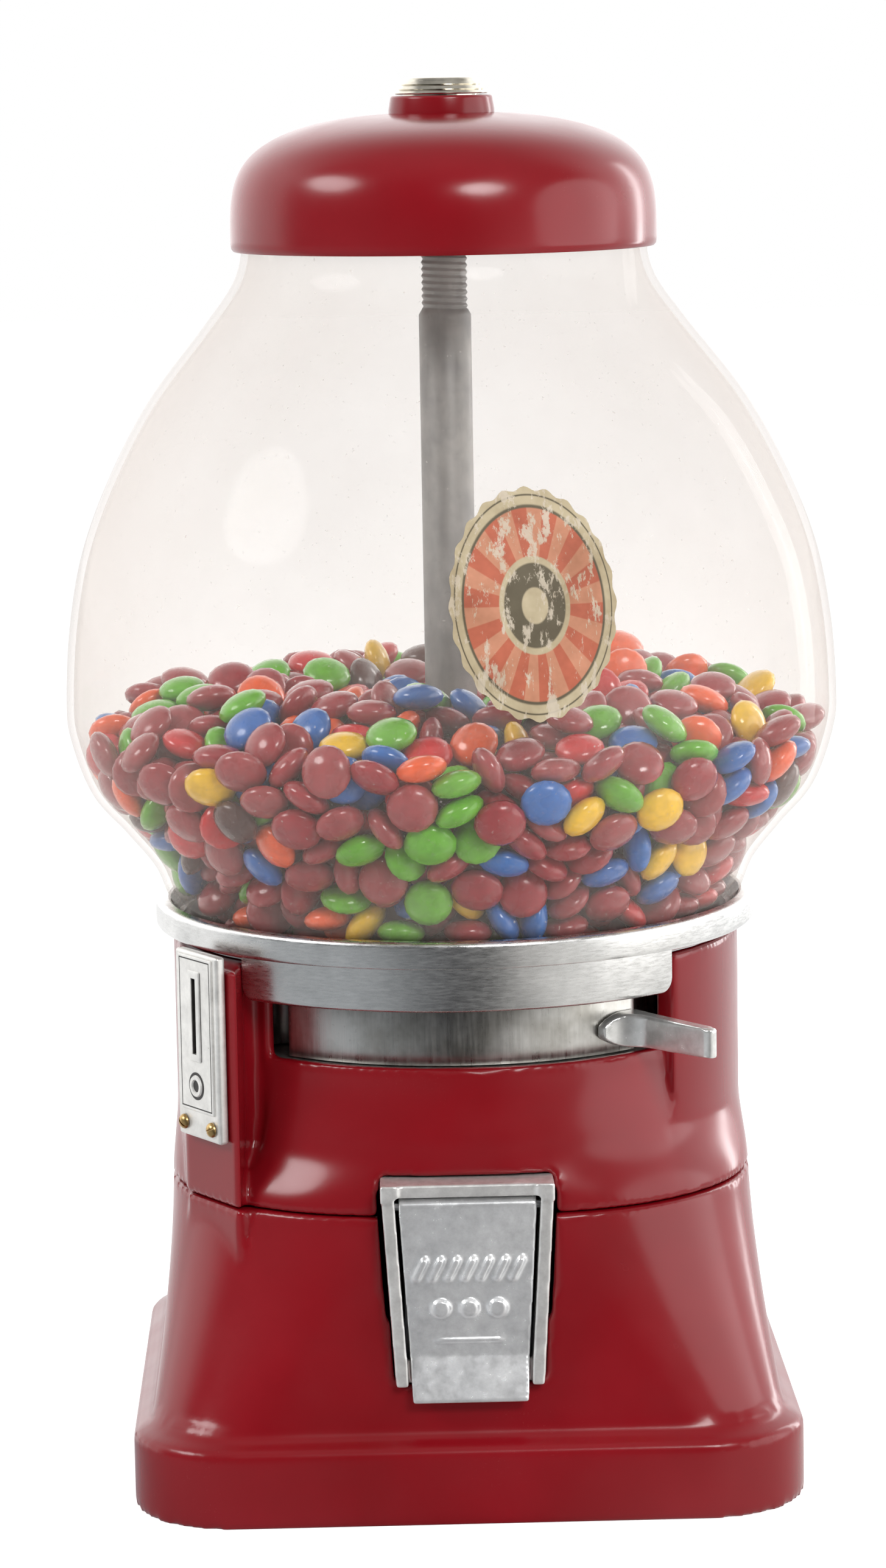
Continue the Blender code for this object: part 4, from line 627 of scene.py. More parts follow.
def glass():
    """Clear old glass: light passes straight, edges grey a little as painted shade, dust lies on it."""
    mat, tree, bsdf = new_material("dusty_glass", 0.05)
    bsdf.inputs["Base Color"].default_value = (0.80, 0.73, 0.67, 1.0)
    facing = node(tree, "LayerWeight", {"Blend": 0.35}).outputs["Facing"]
    # painted shade: what shows through the glass darkens towards grazing edges, standing in for the dark
    # rims that bent light gives real thick glass
    edge_shade_tint = ramp(tree, facing, (0.0, (0.992, 0.986, 0.98)), (0.7, (0.972, 0.958, 0.948)),
                (1.0, (0.78, 0.76, 0.745)))
    clear = node(tree, "BsdfTransparent", {"Color": edge_shade_tint})
    fresnel = math_node(tree, "ADD", math_node(tree, "POWER", facing, 4.0), 0.03)
    film = ramp(tree, noise(tree, 14, 4, roughness=0.65), (0.3, 0.015), (0.75, 0.085))
    specks = ramp(tree, noise(tree, 620, 2, roughness=0.7), (0.70, 0.0), (0.78, 0.35))
    dust = math_node(tree, "ADD", film, specks)
    share = math_node(tree, "ADD", math_node(tree, "MULTIPLY", fresnel, 0.45), dust, clamp=True)
    blend = node(tree, "MixShader", {0: share, 1: clear.outputs[0], 2: bsdf.outputs[0]})
    surface(tree, blend)
    return mat


def candy(name, color, dusty):
    """Sugar shell in one colour, each piece a little different and dusted."""
    mat, tree, bsdf = new_material(name, 0.32)
    geometry = node(tree, "NewGeometry")
    own = geometry.outputs["Random Per Island"]
    pale = tuple(0.8 * c + 0.2 * g for c, g in zip(color, (0.42, 0.22, 0.20)))
    varied = mix(tree, math_node(tree, "MULTIPLY", own, dusty), color, pale)
    mottle = ramp(tree, noise(tree, 330, 4, roughness=0.7), (0.35, 0.82), (0.7, 1.08))
    shell = mix(tree, 1.0, varied, mottle, "MULTIPLY")
    chips = ramp(tree, noise(tree, 1500, 2, roughness=0.6), (0.68, 0.0), (0.76, 0.5))
    connect(tree, mix(tree, chips, shell, (0.55, 0.42, 0.40)), bsdf, "Base Color")
    connect(tree, ramp(tree, noise(tree, 240, 2), (0.3, 0.14), (0.7, 0.36)), bsdf, "Roughness")
    bsdf.inputs["Coat Weight"].default_value = 0.25
    bump(tree, bsdf, noise(tree, 700, 3), 0.2, 0.06 * MM)
    return mat


def label_print():
    """Worn printed paper: rings and rays on the label's own flat coordinates."""
    mat, tree, bsdf = new_material("printed_label", 0.6)
    flat = node(tree, "SeparateXYZ", {0: node(tree, "TexCoord").outputs["UV"]})
    across, up = (math_node(tree, "MULTIPLY_ADD", flat.outputs[axis], 2 * LABEL_REACH, -LABEL_REACH)
                  for axis in "XY")
    radius = math_node(tree, "SQRT", math_node(tree, "ADD", math_node(tree, "MULTIPLY", across, across),
                                               math_node(tree, "MULTIPLY", up, up)))
    angle = math_node(tree, "ARCTAN2", up, across)
    rays = math_node(tree, "SINE", math_node(tree, "MULTIPLY", angle, LABEL_RAYS))
    cream, umber = (0.54, 0.47, 0.33), (0.12, 0.10, 0.06)
    salmon, rose = (0.52, 0.13, 0.07), (0.60, 0.27, 0.17)
    field = ramp(tree, to_share(tree, rays), (0.45, salmon), (0.55, rose))
    inner = ramp(tree, radius, (0.0, cream), (0.15, cream), (0.165, umber), (0.36, umber), (0.375, cream),
                 (0.42, cream))
    outer = ramp(tree, radius, (0.84, umber), (0.855, umber), (0.87, cream), (0.935, cream),
                 (0.94, umber), (0.95, umber), (0.955, cream))
    within = ramp(tree, radius, (0.42, 0.0), (0.43, 1.0))
    beyond = ramp(tree, radius, (0.83, 0.0), (0.84, 1.0))
    printed = mix(tree, beyond, mix(tree, within, inner, field), outer)
    rubbed = noise(tree, 130, 5, stretch=(2.2, 2.2, 0.7), roughness=0.75)
    scuff = ramp(tree, rubbed, (0.54, 0.0), (0.59, 1.0))
    faded = mix(tree, math_node(tree, "MULTIPLY", scuff, 0.85), printed, (0.66, 0.60, 0.52))
    stain = ramp(tree, noise(tree, 60, 4, roughness=0.7),
                 (0.3, (0.60, 0.53, 0.42)), (0.65, (0.95, 0.91, 0.84)))
    connect(tree, mix(tree, 1.0, faded, stain, "MULTIPLY"), bsdf, "Base Color")
    bump(tree, bsdf, scuff, 0.3, 0.05 * MM)
    return mat


MATERIALS = {
    "enamel": enamel(),
    "collar": metal("polished_collar", (0.84, 0.835, 0.82), (0.64, 0.64, 0.63), 0.30,
                    grain=(1, 1, 7), fine=300),
    "apron": metal("brushed_apron", (0.74, 0.73, 0.70), (0.40, 0.385, 0.35), 0.33,
                   grain=(6, 6, 0.4), fine=130, cloud_scale=60, wear=0.3),
    "plate": metal("satin_plate", (0.86, 0.85, 0.82), (0.74, 0.73, 0.70), 0.38, fine=200,
                   metallic=0.6),
    "frame": metal("polished_frame", (0.94, 0.93, 0.91), (0.78, 0.77, 0.75), 0.20, fine=300,
                   cloud_scale=60, wear=0.12, metallic=0.6, spread=0.05),
    "flap": metal("mottled_flap", (0.93, 0.935, 0.94), (0.74, 0.75, 0.765), 0.25, fine=300,
                  cloud_scale=40, wear=0.12, metallic=0.62, spread=0.05),
    "lever": metal("handled_lever", (0.90, 0.90, 0.88), (0.68, 0.68, 0.66), 0.24, fine=300,
                   cloud_scale=70, wear=0.15, metallic=0.7, spread=0.06),
    "rod": metal("dull_rod", (0.27, 0.265, 0.255), (0.17, 0.17, 0.17), 0.5, grain=(1, 1, 0.3),
                 fine=260, cloud_scale=90, wear=0.5, metallic=0.4),
    "steel": metal("machined_steel", (0.50, 0.50, 0.51), (0.34, 0.34, 0.35), 0.36, fine=300),
    "zinc": metal("zinc_sheet_dull", (0.56, 0.565, 0.57), (0.38, 0.385, 0.39), 0.45,
                  cloud_scale=70, wear=0.3),
    "cast": metal("raw_cast", (0.60, 0.595, 0.57), (0.42, 0.415, 0.40), 0.5, fine=240, wear=0.4),
    "nickel": metal("polished_nickel", (0.80, 0.76, 0.66), (0.62, 0.57, 0.48), 0.16, fine=180),
    "brass": metal("worn_brass", (0.66, 0.46, 0.20), (0.36, 0.22, 0.08), 0.32, fine=300, wear=0.4),
    "rubber": plain_finish("seal_rubber", (0.03, 0.03, 0.03), (0.012, 0.012, 0.012), 0.65, 300, 0.1),
    "fibre": plain_finish("brush_fibre_visual", (0.10, 0.075, 0.05), (0.03, 0.022, 0.015), 0.85,
                          900, 0.3),
    "glass": glass(),
    "ink_and_slit_shade": plain_finish("dark_fill", (0.035, 0.03, 0.028), (0.012, 0.011, 0.011), 0.5, 500, 0.02),
    "label": label_print(),
}


def sunk_sector(name, depths, outside, sunk, start, end, steps, top):
    """A cutter that reaches deeper into the wall as it rises."""
    rings = []
    span = LIP_HEIGHT - BODY_ROUND_HEIGHT
    curve = smooth_curve(depths, 4)
    for rise, depth in [tuple(p) for p in curve] + [((top - BODY_ROUND_HEIGHT) / span, depths[-1][1])]:
        face = outside - (outside - sunk) * depth
        outline = sector(face, FOOT_HALF + OVERRUN, start, end, steps)
        rings.append([(x, y, BODY_ROUND_HEIGHT + span * rise) for x, y in outline])
    return loft(name, rings)


def post_point(along):
    foot = on_azimuth(POST_AZIMUTH, POST_DISTANCE)
    return foot + along * Vector((math.cos(POST_AZIMUTH), math.sin(POST_AZIMUTH)))


def post_block(low, high, inner_radius):
    """The post's solid, with its flank and an inner arc on the body or a plain back on the foot."""
    front, left = post_point(POST_RIGHT), post_point(POST_LEFT)
    if inner_radius < BODY_RADIUS:
        flank = front + Vector((POST_FLANK_LEAN, POST_FLANK_DEPTH))
        steps = 20
        inner = [on_azimuth(FLANK_AZIMUTH + (-math.pi / 2 - FLANK_AZIMUTH) * i / steps, inner_radius)
                 for i in range(steps + 1)]
        outline = [left, front, flank, *inner, Vector((GAP - BODY_RADIUS, 0))]
    else:
        back = [on_azimuth(math.atan2(spot.x, -spot.y), inner_radius) for spot in (front, left)]
        outline = [left, front, *back]
    return prism("post", outline, low, high)


def frame_half(height):
    share = (height - FRAME_LOW) / (FRAME_TOP - FRAME_LOW)
    return (FRAME_LOW_WIDTH + (FRAME_TOP_WIDTH - FRAME_LOW_WIDTH) * share) / 2


def upright(name, low, high, slack, front, back):
    rings = []
    for height in (low, high):
        half = frame_half(height) + slack
        rings.append([(-half, -front, height), (half, -front, height), (half, -back, height),
                      (-half, -back, height)])
    return loft(name, rings)


def frame_holes(top):
    front = FRAME_FRONT + OVERRUN + FOOT_HALF - SEAM_HALF
    back = FRAME_BACK - OVERRUN
    return (upright("snug", FRAME_LOW - GAP, FRAME_TOP + GAP, GAP, front, back),
            upright("slots", FRAME_LOW + FRAME_SLOT_RISE, top, FRAME_SLOT_SLACK, front, back))


def between(value, low, high, low_fade, high_fade):
    """1 inside two limits and 0 outside them, with a fade inwards from each."""
    return max(0.0, min(1.0, (value - low) / low_fade, (high - value) / high_fade))


def panel_blend(spot):
    """Where the sunk panel eases into the flare, clear of the lip, seam, frame, post and bore."""
    azimuth = math.atan2(spot.x, -spot.y) / DEG
    radius = math.hypot(spot.x, spot.y)
    if radius < 72.5 * MM:
        return 0
    level = between(spot.z, 82 * MM, 116 * MM, 6 * MM, 5 * MM)
    side = between(azimuth, -48, 45, 2, 2)
    clear = max(between(abs(spot.x), 26 * MM, math.inf, 5 * MM, 1),
                between(spot.z, 92 * MM, math.inf, 5 * MM, 1))
    post = between(radius, -math.inf, 81 * MM, 1, 1.5 * MM) if azimuth < -38 else 1
    return level * side * clear * post


def make_upper_casting():
    """Housing with its window, sunk panel, valley and coin post, edges rounded as cast."""
    rings = []
    low = SEAM_HEIGHT + GAP / 2
    rise_steps = 12
    for i in range(rise_steps + 1):
        share = i / rise_steps
        eased = share * share * (3 - 2 * share)
        half = SEAM_HALF + (BODY_RADIUS - SEAM_HALF) * eased
        corner = SEAM_CORNER + (BODY_RADIUS - SEAM_CORNER) * eased
        rings.append(rounded_square(half, corner, low + (BODY_ROUND_HEIGHT - low) * share))
    bore = BODY_RADIUS - BODY_WALL
    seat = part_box("mech_deck")[0].z - GAP
    ledge = bore - LEDGE_WIDTH
    for radius, height in ((BODY_RADIUS, BODY_TOP), (bore, BODY_TOP), (bore, seat), (ledge, seat),
                           (ledge, seat - LEDGE_THICK), (bore, seat - LEDGE_THICK - LEDGE_WIDTH)):
        rings.append(rounded_square(radius, radius, height))
    rings.append(rounded_square(SEAM_HALF - BASE_WALL, SEAM_CORNER - BASE_WALL, low))
    body = loft("upper_casting", rings, closed=True)
    valley = sunk_sector("valley", VALLEY_DEPTH_SHARES, BODY_RADIUS, BODY_RADIUS - VALLEY_DEPTH,
                         VALLEY_LEFT, VALLEY_RIGHT, 8, BODY_TOP + OVERRUN)
    window = prism("window", sector(bore - OVERRUN, BODY_RADIUS + OVERRUN, WINDOW_LEFT,
                                    WINDOW_RIGHT, 60), LIP_HEIGHT, BODY_TOP + OVERRUN)
    panel = sunk_sector("panel", PANEL_DEPTH_SHARES, BODY_RADIUS + GAP, LIP_RADIUS, PANEL_LEFT,
                        PANEL_RIGHT, 60, LIP_HEIGHT + OVERRUN)
    cut(body, valley, panel)
    join(body, post_block(low, BODY_TOP, LIP_RADIUS))
    channel = box("channel", (PLATE_MIDDLE - CHANNEL_HALF, -OVERRUN, CHANNEL_LOW),
                  (PLATE_MIDDLE + CHANNEL_HALF, CHANNEL_DEPTH, CHANNEL_HIGH))
    turned(channel, POST_AZIMUTH, POST_DISTANCE)
    cut(body, window, channel, *frame_holes(FRAME_TOP - FRAME_RAIL))
    soften(body, UPPER_VOXEL, 5, crisp_seam)
    relax(body, 45, panel_blend)
    body.data.shade_smooth()
    return place(body, "root", "enamel", "red_enamel", "upper_body")


def make_lower_casting():
    """Foot with its plinth and cove, the eased wall and the foot of the coin post."""
    rings = [rounded_square(FOOT_HALF, FOOT_CORNER, 0)]
    plinth_steps, cove_steps, steps = 8, 6, 24
    for i in range(plinth_steps + 1):
        angle = i * math.pi / 2 / plinth_steps
        inward = PLINTH_ROUND * (1 - math.cos(angle))
        rings.append(rounded_square(FOOT_HALF - inward, FOOT_CORNER - inward,
                                    PLINTH_HEIGHT + PLINTH_ROUND * math.sin(angle)))
    ledge_high = PLINTH_HEIGHT + PLINTH_ROUND + LEDGE_RISE
    wall_low = ledge_high + COVE_RADIUS
    for i in range(cove_steps + 1):
        angle = i * math.pi / 2 / cove_steps
        half = WALL_FOOT_HALF + COVE_RADIUS * (1 - math.sin(angle)) * COVE_SHARE
        rings.append(rounded_square(half, FOOT_CORNER - PLINTH_ROUND,
                                    ledge_high + COVE_RADIUS * (1 - math.cos(angle))))
    shares = [i / steps for i in range(steps + 1)]

    def wall(share, wall_inset):
        half = SEAM_HALF + (WALL_FOOT_HALF - SEAM_HALF) * (1 - share) ** WALL_EASE_POWER
        corner = FOOT_CORNER + (SEAM_CORNER - FOOT_CORNER) * share
        height = wall_low + (SEAM_HEIGHT - GAP / 2 - wall_low) * share
        return rounded_square(half - wall_inset, corner - wall_inset, height)

    rings += [wall(share, 0) for share in shares]
    rings += [wall(share, BASE_WALL) for share in reversed(shares)]
    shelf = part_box("base_plate")[1].z + GAP
    for half, height in ((WALL_FOOT_HALF, shelf), (FOOT_HALF, shelf), (FOOT_HALF, 0)):
        rings.append(rounded_square(half - BASE_WALL, FOOT_CORNER - BASE_WALL, height))
    base = loft("lower_casting", rings, closed=True)
    join(base, post_block(POST_FOOT_HEIGHT, SEAM_HEIGHT - GAP / 2, WALL_FOOT_HALF))
    cut(base, *frame_holes(SEAM_HEIGHT + OVERRUN))
    soften(base, LOWER_VOXEL, 3, crisp_seam)
    return place(base, "root", "enamel", "red_enamel", "lower_base")


def make_lid():
    """Domed cast lid with its boss."""
    tall = LID_DOME_HIGH - LID_LOW
    upward_power, outward_power, first_share = 4, 0.4, 0.05
    boss_share = (1 - (LID_BOSS_RADIUS / LID_RADIUS) ** (1 / outward_power)) ** (1 / upward_power)
    steps = 48
    rim_round, rim_bulge, rim_rise = 0.7 * MM, 0.2 * MM, 0.6 * MM
    outer = [Vector((LID_RADIUS - rim_round, LID_LOW)),
             Vector((LID_RADIUS - rim_bulge, LID_LOW + rim_rise))]
    for i in range(steps + 1):
        share = first_share + (boss_share - first_share) * math.sin(i / steps * math.pi / 2)
        outer.append(Vector((LID_RADIUS * (1 - share ** upward_power) ** outward_power,
                             LID_LOW + tall * share)))
    gasket_room, rim_wall, shelf_width, web_drop, web_thick = (
        value * MM for value in (1.6, 1.8, 7.5, 3.2, 2.6))
    seat = GLOBE_HIGH + 2 * GAP + gasket_room
    shelf = LID_RADIUS - shelf_width
    web_high = LID_DOME_HIGH - web_drop
    web_low = web_high - web_thick
    dome = [p for p in inset(outer, LID_WALL) if seat < p.y < web_low and p.x < shelf]
    lock_bore = LOCK_SHANK_RADIUS + GAP
    edge, boss_round, boss_rise = 0.5 * MM, 0.8 * MM, 0.6 * MM
    thread_bore = ROD_THREAD_RADIUS + edge
    top = arc((LID_BOSS_RADIUS - edge - boss_round, LID_BOSS_HIGH - boss_round), boss_round, 90, 0, 5)
    profile = [(lock_bore, LID_BOSS_HIGH - edge), (lock_bore + edge, LID_BOSS_HIGH), *top,
               (LID_BOSS_RADIUS, LID_DOME_HIGH + boss_rise)]
    profile += [tuple(p) for p in reversed(outer)]
    rim_bore = LID_RADIUS - rim_wall
    profile += [(rim_bore, LID_LOW), (rim_bore, seat), (shelf, seat)]
    profile += [tuple(p) for p in dome]
    profile += [(LID_BOSS_RADIUS, web_low), (thread_bore, web_low), (thread_bore, web_high),
                (lock_bore, web_high)]
    lid = shade(revolve("domed_lid", profile, 192))
    return place(lid, "lid", "enamel", "red_enamel", "lid")


def globe_curve(per_span=8):
    tall = GLOBE_HIGH - GLOBE_LOW
    points = []
    for shares, end in ((GLOBE_FOOT_SHARES, GLOBE_FOOT_RADIUS),
                        (GLOBE_NECK_SHARES, GLOBE_NECK_RADIUS)):
        points += [(end + (GLOBE_RADIUS - end) * way, GLOBE_LOW + tall * rise)
                   for rise, way in shares]
    return smooth_curve(points, per_span)


def make_globe():
    outer = globe_curve()
    inner = inset(outer, GLOBE_WALL)
    inner[0].y, inner[-1].y = GLOBE_LOW, GLOBE_HIGH
    profile = [tuple(p) for p in reversed(outer)] + [tuple(p) for p in inner]
    globe = shade(revolve("blown_globe", profile, 160), 50)
    return place(globe, "root", "glass", "glass", "globe")


def make_label():
    """Paper label on the glass: a scalloped oval, to the customer's right of the front."""
    curve = globe_curve()
    around, outward = 144, 20
    bm = bmesh.new()
    flat = bm.loops.layers.uv.new("label")
    spots = {}

    def corner(u, v, lift):
        height = LABEL_HEIGHT + LABEL_HALF_TALL * v
        radius = glass_radius(curve, height)
        azimuth = LABEL_AZIMUTH + LABEL_HALF_WIDE * u / (radius + lift)
        vert = bm.verts.new((*on_azimuth(azimuth, radius + lift), height))
        spots[vert] = [(value + LABEL_REACH) / (2 * LABEL_REACH) for value in (u, v)]
        return vert

    sheets = []
    for lift in LABEL_LIFTS:
        rings = [[corner(0, 0, lift)] * around]
        for ring in range(1, outward + 1):
            share = ring / outward
            row = []
            for i in range(around):
                angle = FULL_TURN * i / around
                reach = share * (1 + SCALLOP_DEPTH * math.cos(SCALLOPS * angle) * share)
                row.append(corner(reach * math.cos(angle), reach * math.sin(angle), lift))
            rings.append(row)
        sheets.append(rings)
        for low, high in zip(rings, rings[1:]):
            for i in range(around):
                k = (i + 1) % around
                bm.faces.new(list(dict.fromkeys((low[i], high[i], high[k], low[k]))))
    below, above = sheets[0][-1], sheets[1][-1]
    for i in range(around):
        k = (i + 1) % around
        bm.faces.new((below[i], above[i], above[k], below[k]))
    for face in bm.faces:
        for loop in face.loops:
            loop[flat].uv = spots[loop.vert]
    label = shade(new_object("round_label", bm), 50)
    return place(label, "root", "label", "brush_fibre", "globe")


def make_collar():
    """Polished ring with a rolled edge, and the skirt with its rolled lower rim."""
    bead = COLLAR_BEAD
    bevel_drop, bevel_in, bevel_width = 0.4 * MM, 1.6 * MM, 0.6 * MM
    profile = [(COLLAR_EDGE_RADIUS - bevel_in - bevel_width, COLLAR_HIGH - bevel_drop),
               (COLLAR_EDGE_RADIUS - bevel_in, COLLAR_HIGH)]
    profile += arc((COLLAR_RADIUS - bead, COLLAR_HIGH - bead), bead, 90, 0, 8)
    profile += arc((COLLAR_RADIUS - bead, COLLAR_LOW + bead), bead, 0, -90, 8)
    profile += [(COLLAR_BORE, COLLAR_LOW), (COLLAR_BORE, COLLAR_SEAT),
                (COLLAR_SEAT_RADIUS, COLLAR_SEAT)]
    collar = revolve("collar_and_skirt", profile, 224)
    top = COLLAR_LOW + bead / 2
    roll = SKIRT_ROLL
    stations = 150
    rings = []
    for i in range(stations + 1):
        eased = (1 - math.cos(math.pi * i / stations)) / 2
        azimuth = SKIRT_LEFT + (SKIRT_RIGHT - SKIRT_LEFT) * eased
        reach = min(azimuth - SKIRT_LEFT, SKIRT_RIGHT - azimuth) * SKIRT_RADIUS
        short = max(0.0, SKIRT_CORNER - reach)
        low = SKIRT_LOW + SKIRT_CORNER - math.sqrt(SKIRT_CORNER ** 2 - short ** 2)
        section = [(SKIRT_INNER, top), (SKIRT_RADIUS, top)]
        section += arc((SKIRT_RADIUS - roll, low + roll), roll, 0, -90, 5)
        section += arc((SKIRT_INNER + roll / 2, low + roll / 2), roll / 2, -90, -180, 3)
        rings.append([(*on_azimuth(azimuth, radius), height) for radius, height in section])
    join(collar, loft("skirt", rings))
    shade(collar, 30)
    return place(collar, "root", "collar", "polished_aluminium", "collar_ring")


def make_wheel():
    """Dispensing wheel with its apron, pocket and coin notch."""
    bore = ROD_RADIUS + GAP
    profile = [(bore, WHEEL_HIGH), (WHEEL_RADIUS, WHEEL_HIGH), (WHEEL_RADIUS, WHEEL_LOW),
               (HUB_RADIUS, WHEEL_LOW), (HUB_RADIUS, HUB_LOW), (bore, HUB_LOW)]
    wheel = revolve("dispensing_wheel", profile, 128)
    join(wheel, prism("apron", sector(WHEEL_RADIUS - OVERRUN, APRON_RADIUS, APRON_LEFT,
                                      APRON_RIGHT, 72), WHEEL_LOW, WHEEL_HIGH))
    cut(wheel, *(cylinder("opening", radius, WHEEL_LOW - OVERRUN, WHEEL_HIGH + OVERRUN, centre)
                 for radius, centre in (
                     (POCKET_RADIUS, on_azimuth(POCKET_AZIMUTH, POCKET_DISTANCE)),
                     (COIN_NOTCH_RADIUS, on_azimuth(COIN_NOTCH_AZIMUTH, WHEEL_RADIUS)))))
    bevel(wheel, 0.5 * MM, 2, 40)
    shade(wheel)
    return place(wheel, "rotor", "apron", "cast_aluminium", "rotor_wheel")


def make_lever():
    """Push lever: a blade on a foot, with a fillet between them and soft edges."""
    root = APRON_RADIUS + GAP
    half, tip_half = LEVER_THICK / 2, LEVER_TIP_THICK / 2
    foot_out = root + LEVER_FOOT_THICK
    steps = 16
    tip = [(tip_half * math.sin(a), -(LEVER_TIP - tip_half * (1 - math.cos(a))))
           for a in (i * math.pi / steps - math.pi / 2 for i in range(steps + 1))]
    fillet = [(-half - LEVER_FILLET * (1 - math.cos(a)),
               -(foot_out + LEVER_FILLET * (1 - math.sin(a))))
              for a in (i * math.pi / 2 / steps for i in range(1, steps + 1))]
    foot_left = -half - LEVER_FOOT_LEFT
    back = [(x, -math.sqrt(root ** 2 - x ** 2))
            for x in (foot_left + (half - foot_left) * i / steps for i in range(steps))]
    left_edge = (foot_left, -math.sqrt(foot_out ** 2 - foot_left ** 2))
    outline = [(half, -math.sqrt(root ** 2 - half ** 2)), *reversed(tip), *fillet, left_edge, *back]

    def taper(x, y):
        """How far the blade thins towards its tip and its foot towards its end."""
        tip_share = max(0.0, (-y - root) / (LEVER_TIP - root))
        foot_share = max(0.0, (-half - x) / LEVER_FOOT_LEFT)
        return ((LEVER_HEIGHT - LEVER_TIP_HEIGHT) / 2 * tip_share
                + LEVER_FOOT_TAPER * foot_share ** LEVER_TAPER_POWER)

    lever = loft("push_blade", [[(x, y, height + sign * taper(x, y)) for x, y in outline]
                                for height, sign in ((LEVER_LOW, 1), (LEVER_LOW + LEVER_HEIGHT, -1))])
    soften(lever, 0.45 * MM, 6)
    turned(lever, LEVER_AZIMUTH)
    lever.data.shade_smooth()
    return place(lever, "rotor", "lever", "polished_aluminium", "push_lever")


def make_rod():
    """Centre rod with a real thread at its upper end."""
    steps, per_turn = 72, 8
    pitch, thread_depth, end_round, shoulder = 1.8 * MM, 0.55 * MM, 0.4 * MM, 1.4 * MM
    top = LID_BOSS_HIGH - GAP
    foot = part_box("base_plate")[1].z + GAP
    rings = [circle(radius, height, steps) for radius, height in (
        (ROD_THREAD_RADIUS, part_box("center_rod")[0].z), (ROD_THREAD_RADIUS, foot),
        (ROD_RADIUS, foot + GAP), (ROD_RADIUS, ROD_SHOULDER_HEIGHT - shoulder),
        (ROD_THREAD_RADIUS, ROD_SHOULDER_HEIGHT))]
    levels = int((top - ROD_SHOULDER_HEIGHT) / pitch * per_turn)
    for level in range(1, levels + 1):
        z = ROD_SHOULDER_HEIGHT + (top - ROD_SHOULDER_HEIGHT) * level / levels
        ring = []
        for i in range(steps):
            phase = ((z - ROD_SHOULDER_HEIGHT) / pitch + i / steps) % 1
            r = ROD_THREAD_RADIUS - (thread_depth * abs(2 * phase - 1) if level < levels else end_round)
            ring.append((r * math.cos(FULL_TURN * i / steps), r * math.sin(FULL_TURN * i / steps), z))
        rings.append(ring)
    rod = shade(loft("threaded_rod", rings), 50)
    return place(rod, "root", "rod", "dull_steel", "center_rod")


def make_lock():
    """Tapered lock nut with its rings, and the key plug."""
    base = LID_BOSS_HIGH + GAP
    shank_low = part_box("lock_nut")[0].z
    bore, plug_bore = ROD_THREAD_RADIUS + GAP, LOCK_PLUG_RADIUS + GAP
    groove, grooved_rings, steps = 0.35 * MM, (4, 9), 12
    lip, crown, sink, foot, low_round = (value * MM for value in (0.3, 0.9, 0.8, 0.4, 0.5))
    cone = []
    for i in range(steps + 1):
        share = i / steps
        radius = LOCK_TOP_RADIUS - lip + (LOCK_BASE_RADIUS - LOCK_TOP_RADIUS) * share
        dip = groove if i in grooved_rings else 0
        cone.append((radius - dip, LOCK_HIGH - crown - (LOCK_HIGH - base - crown - foot) * share))
    profile = [(plug_bore, LOCK_HIGH - sink - foot), (plug_bore + low_round, LOCK_HIGH - sink),
               (LOCK_TOP_RADIUS - 2.4 * MM, LOCK_HIGH - sink)]
    profile += arc((LOCK_TOP_RADIUS - crown - foot, LOCK_HIGH - crown), crown, 150, 10, 8)
    profile += cone[1:]
    profile += arc((LOCK_BASE_RADIUS - low_round, base + foot), foot, 0, -90, 4)
    profile += [(LOCK_SHANK_RADIUS, base), (LOCK_SHANK_RADIUS, shank_low), (bore, shank_low),
                (bore, base + GAP), (plug_bore, base + GAP)]
    nut = shade(revolve("tapered_nut", profile, 96), 30)
    place(nut, "lock", "nickel", "nickel", "lock_nut")
    low, high = (corner.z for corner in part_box("lock_plug"))
    edge, ring_in, ring_out = 0.4 * MM, 1.6 * MM, 1.2 * MM
    profile = [(0, high - lip), (LOCK_PLUG_RADIUS - ring_in, high - lip),
               (LOCK_PLUG_RADIUS - ring_out, high), (LOCK_PLUG_RADIUS - edge, high),
               (LOCK_PLUG_RADIUS, high - edge), (LOCK_PLUG_RADIUS, low), (0, low)]
    plug = revolve("key_plug_face", profile, 64, closed=False)
    half_long, half_wide, deep, eye = (value * MM for value in (3.2, 0.6, 2, 1.2))
    cut(plug, box("keyway", (-half_long, -half_wide, high - deep),
                  (half_long, half_wide, high + OVERRUN)),
        cylinder("keyway_round", eye, high - deep, high + OVERRUN, steps=24))
    shade(plug, 30)
    return place(plug, "key_plug", "brass", "brass", "lock_plug")


def make_chute_frame():
    """Cast frame with rounded rails, corner knuckles and a sill behind the flap."""
    frame_body = upright("cast_frame", FRAME_LOW, FRAME_TOP, 0, FRAME_FRONT, FRAME_BACK)
    half = frame_half(FRAME_TOP)
    knuckles = []
    for side in (-1, 1):
        inner, outer = sorted((side * (half - FRAME_KNUCKLE), side * half))
        knuckles.append(box("knuckle", (inner, -FRAME_FRONT - FRAME_KNUCKLE_PROUD,
                                        FRAME_TOP - FRAME_KNUCKLE),
                            (outer, -FRAME_BACK - FRAME_KNUCKLE, FRAME_TOP)))
    join(frame_body, *knuckles)
    mouth = upright("mouth", FRAME_LOW + FRAME_RAIL, FRAME_TOP - FRAME_RAIL, -FRAME_RAIL,
                    FRAME_FRONT + OVERRUN, FRAME_BACK - OVERRUN)
    step = upright("sill_step", FRAME_LOW - OVERRUN, FRAME_LOW + 2 * FRAME_RAIL, -FRAME_RAIL,
                   FRAME_FRONT + OVERRUN, SILL_FRONT)
    cut(frame_body, mouth, step)
    bevel(frame_body, 1.2 * MM, 4)
    soften(frame_body, 0.5 * MM, 5)
    return place(frame_body, "root", "frame", "polished_aluminium", "chute_frame")


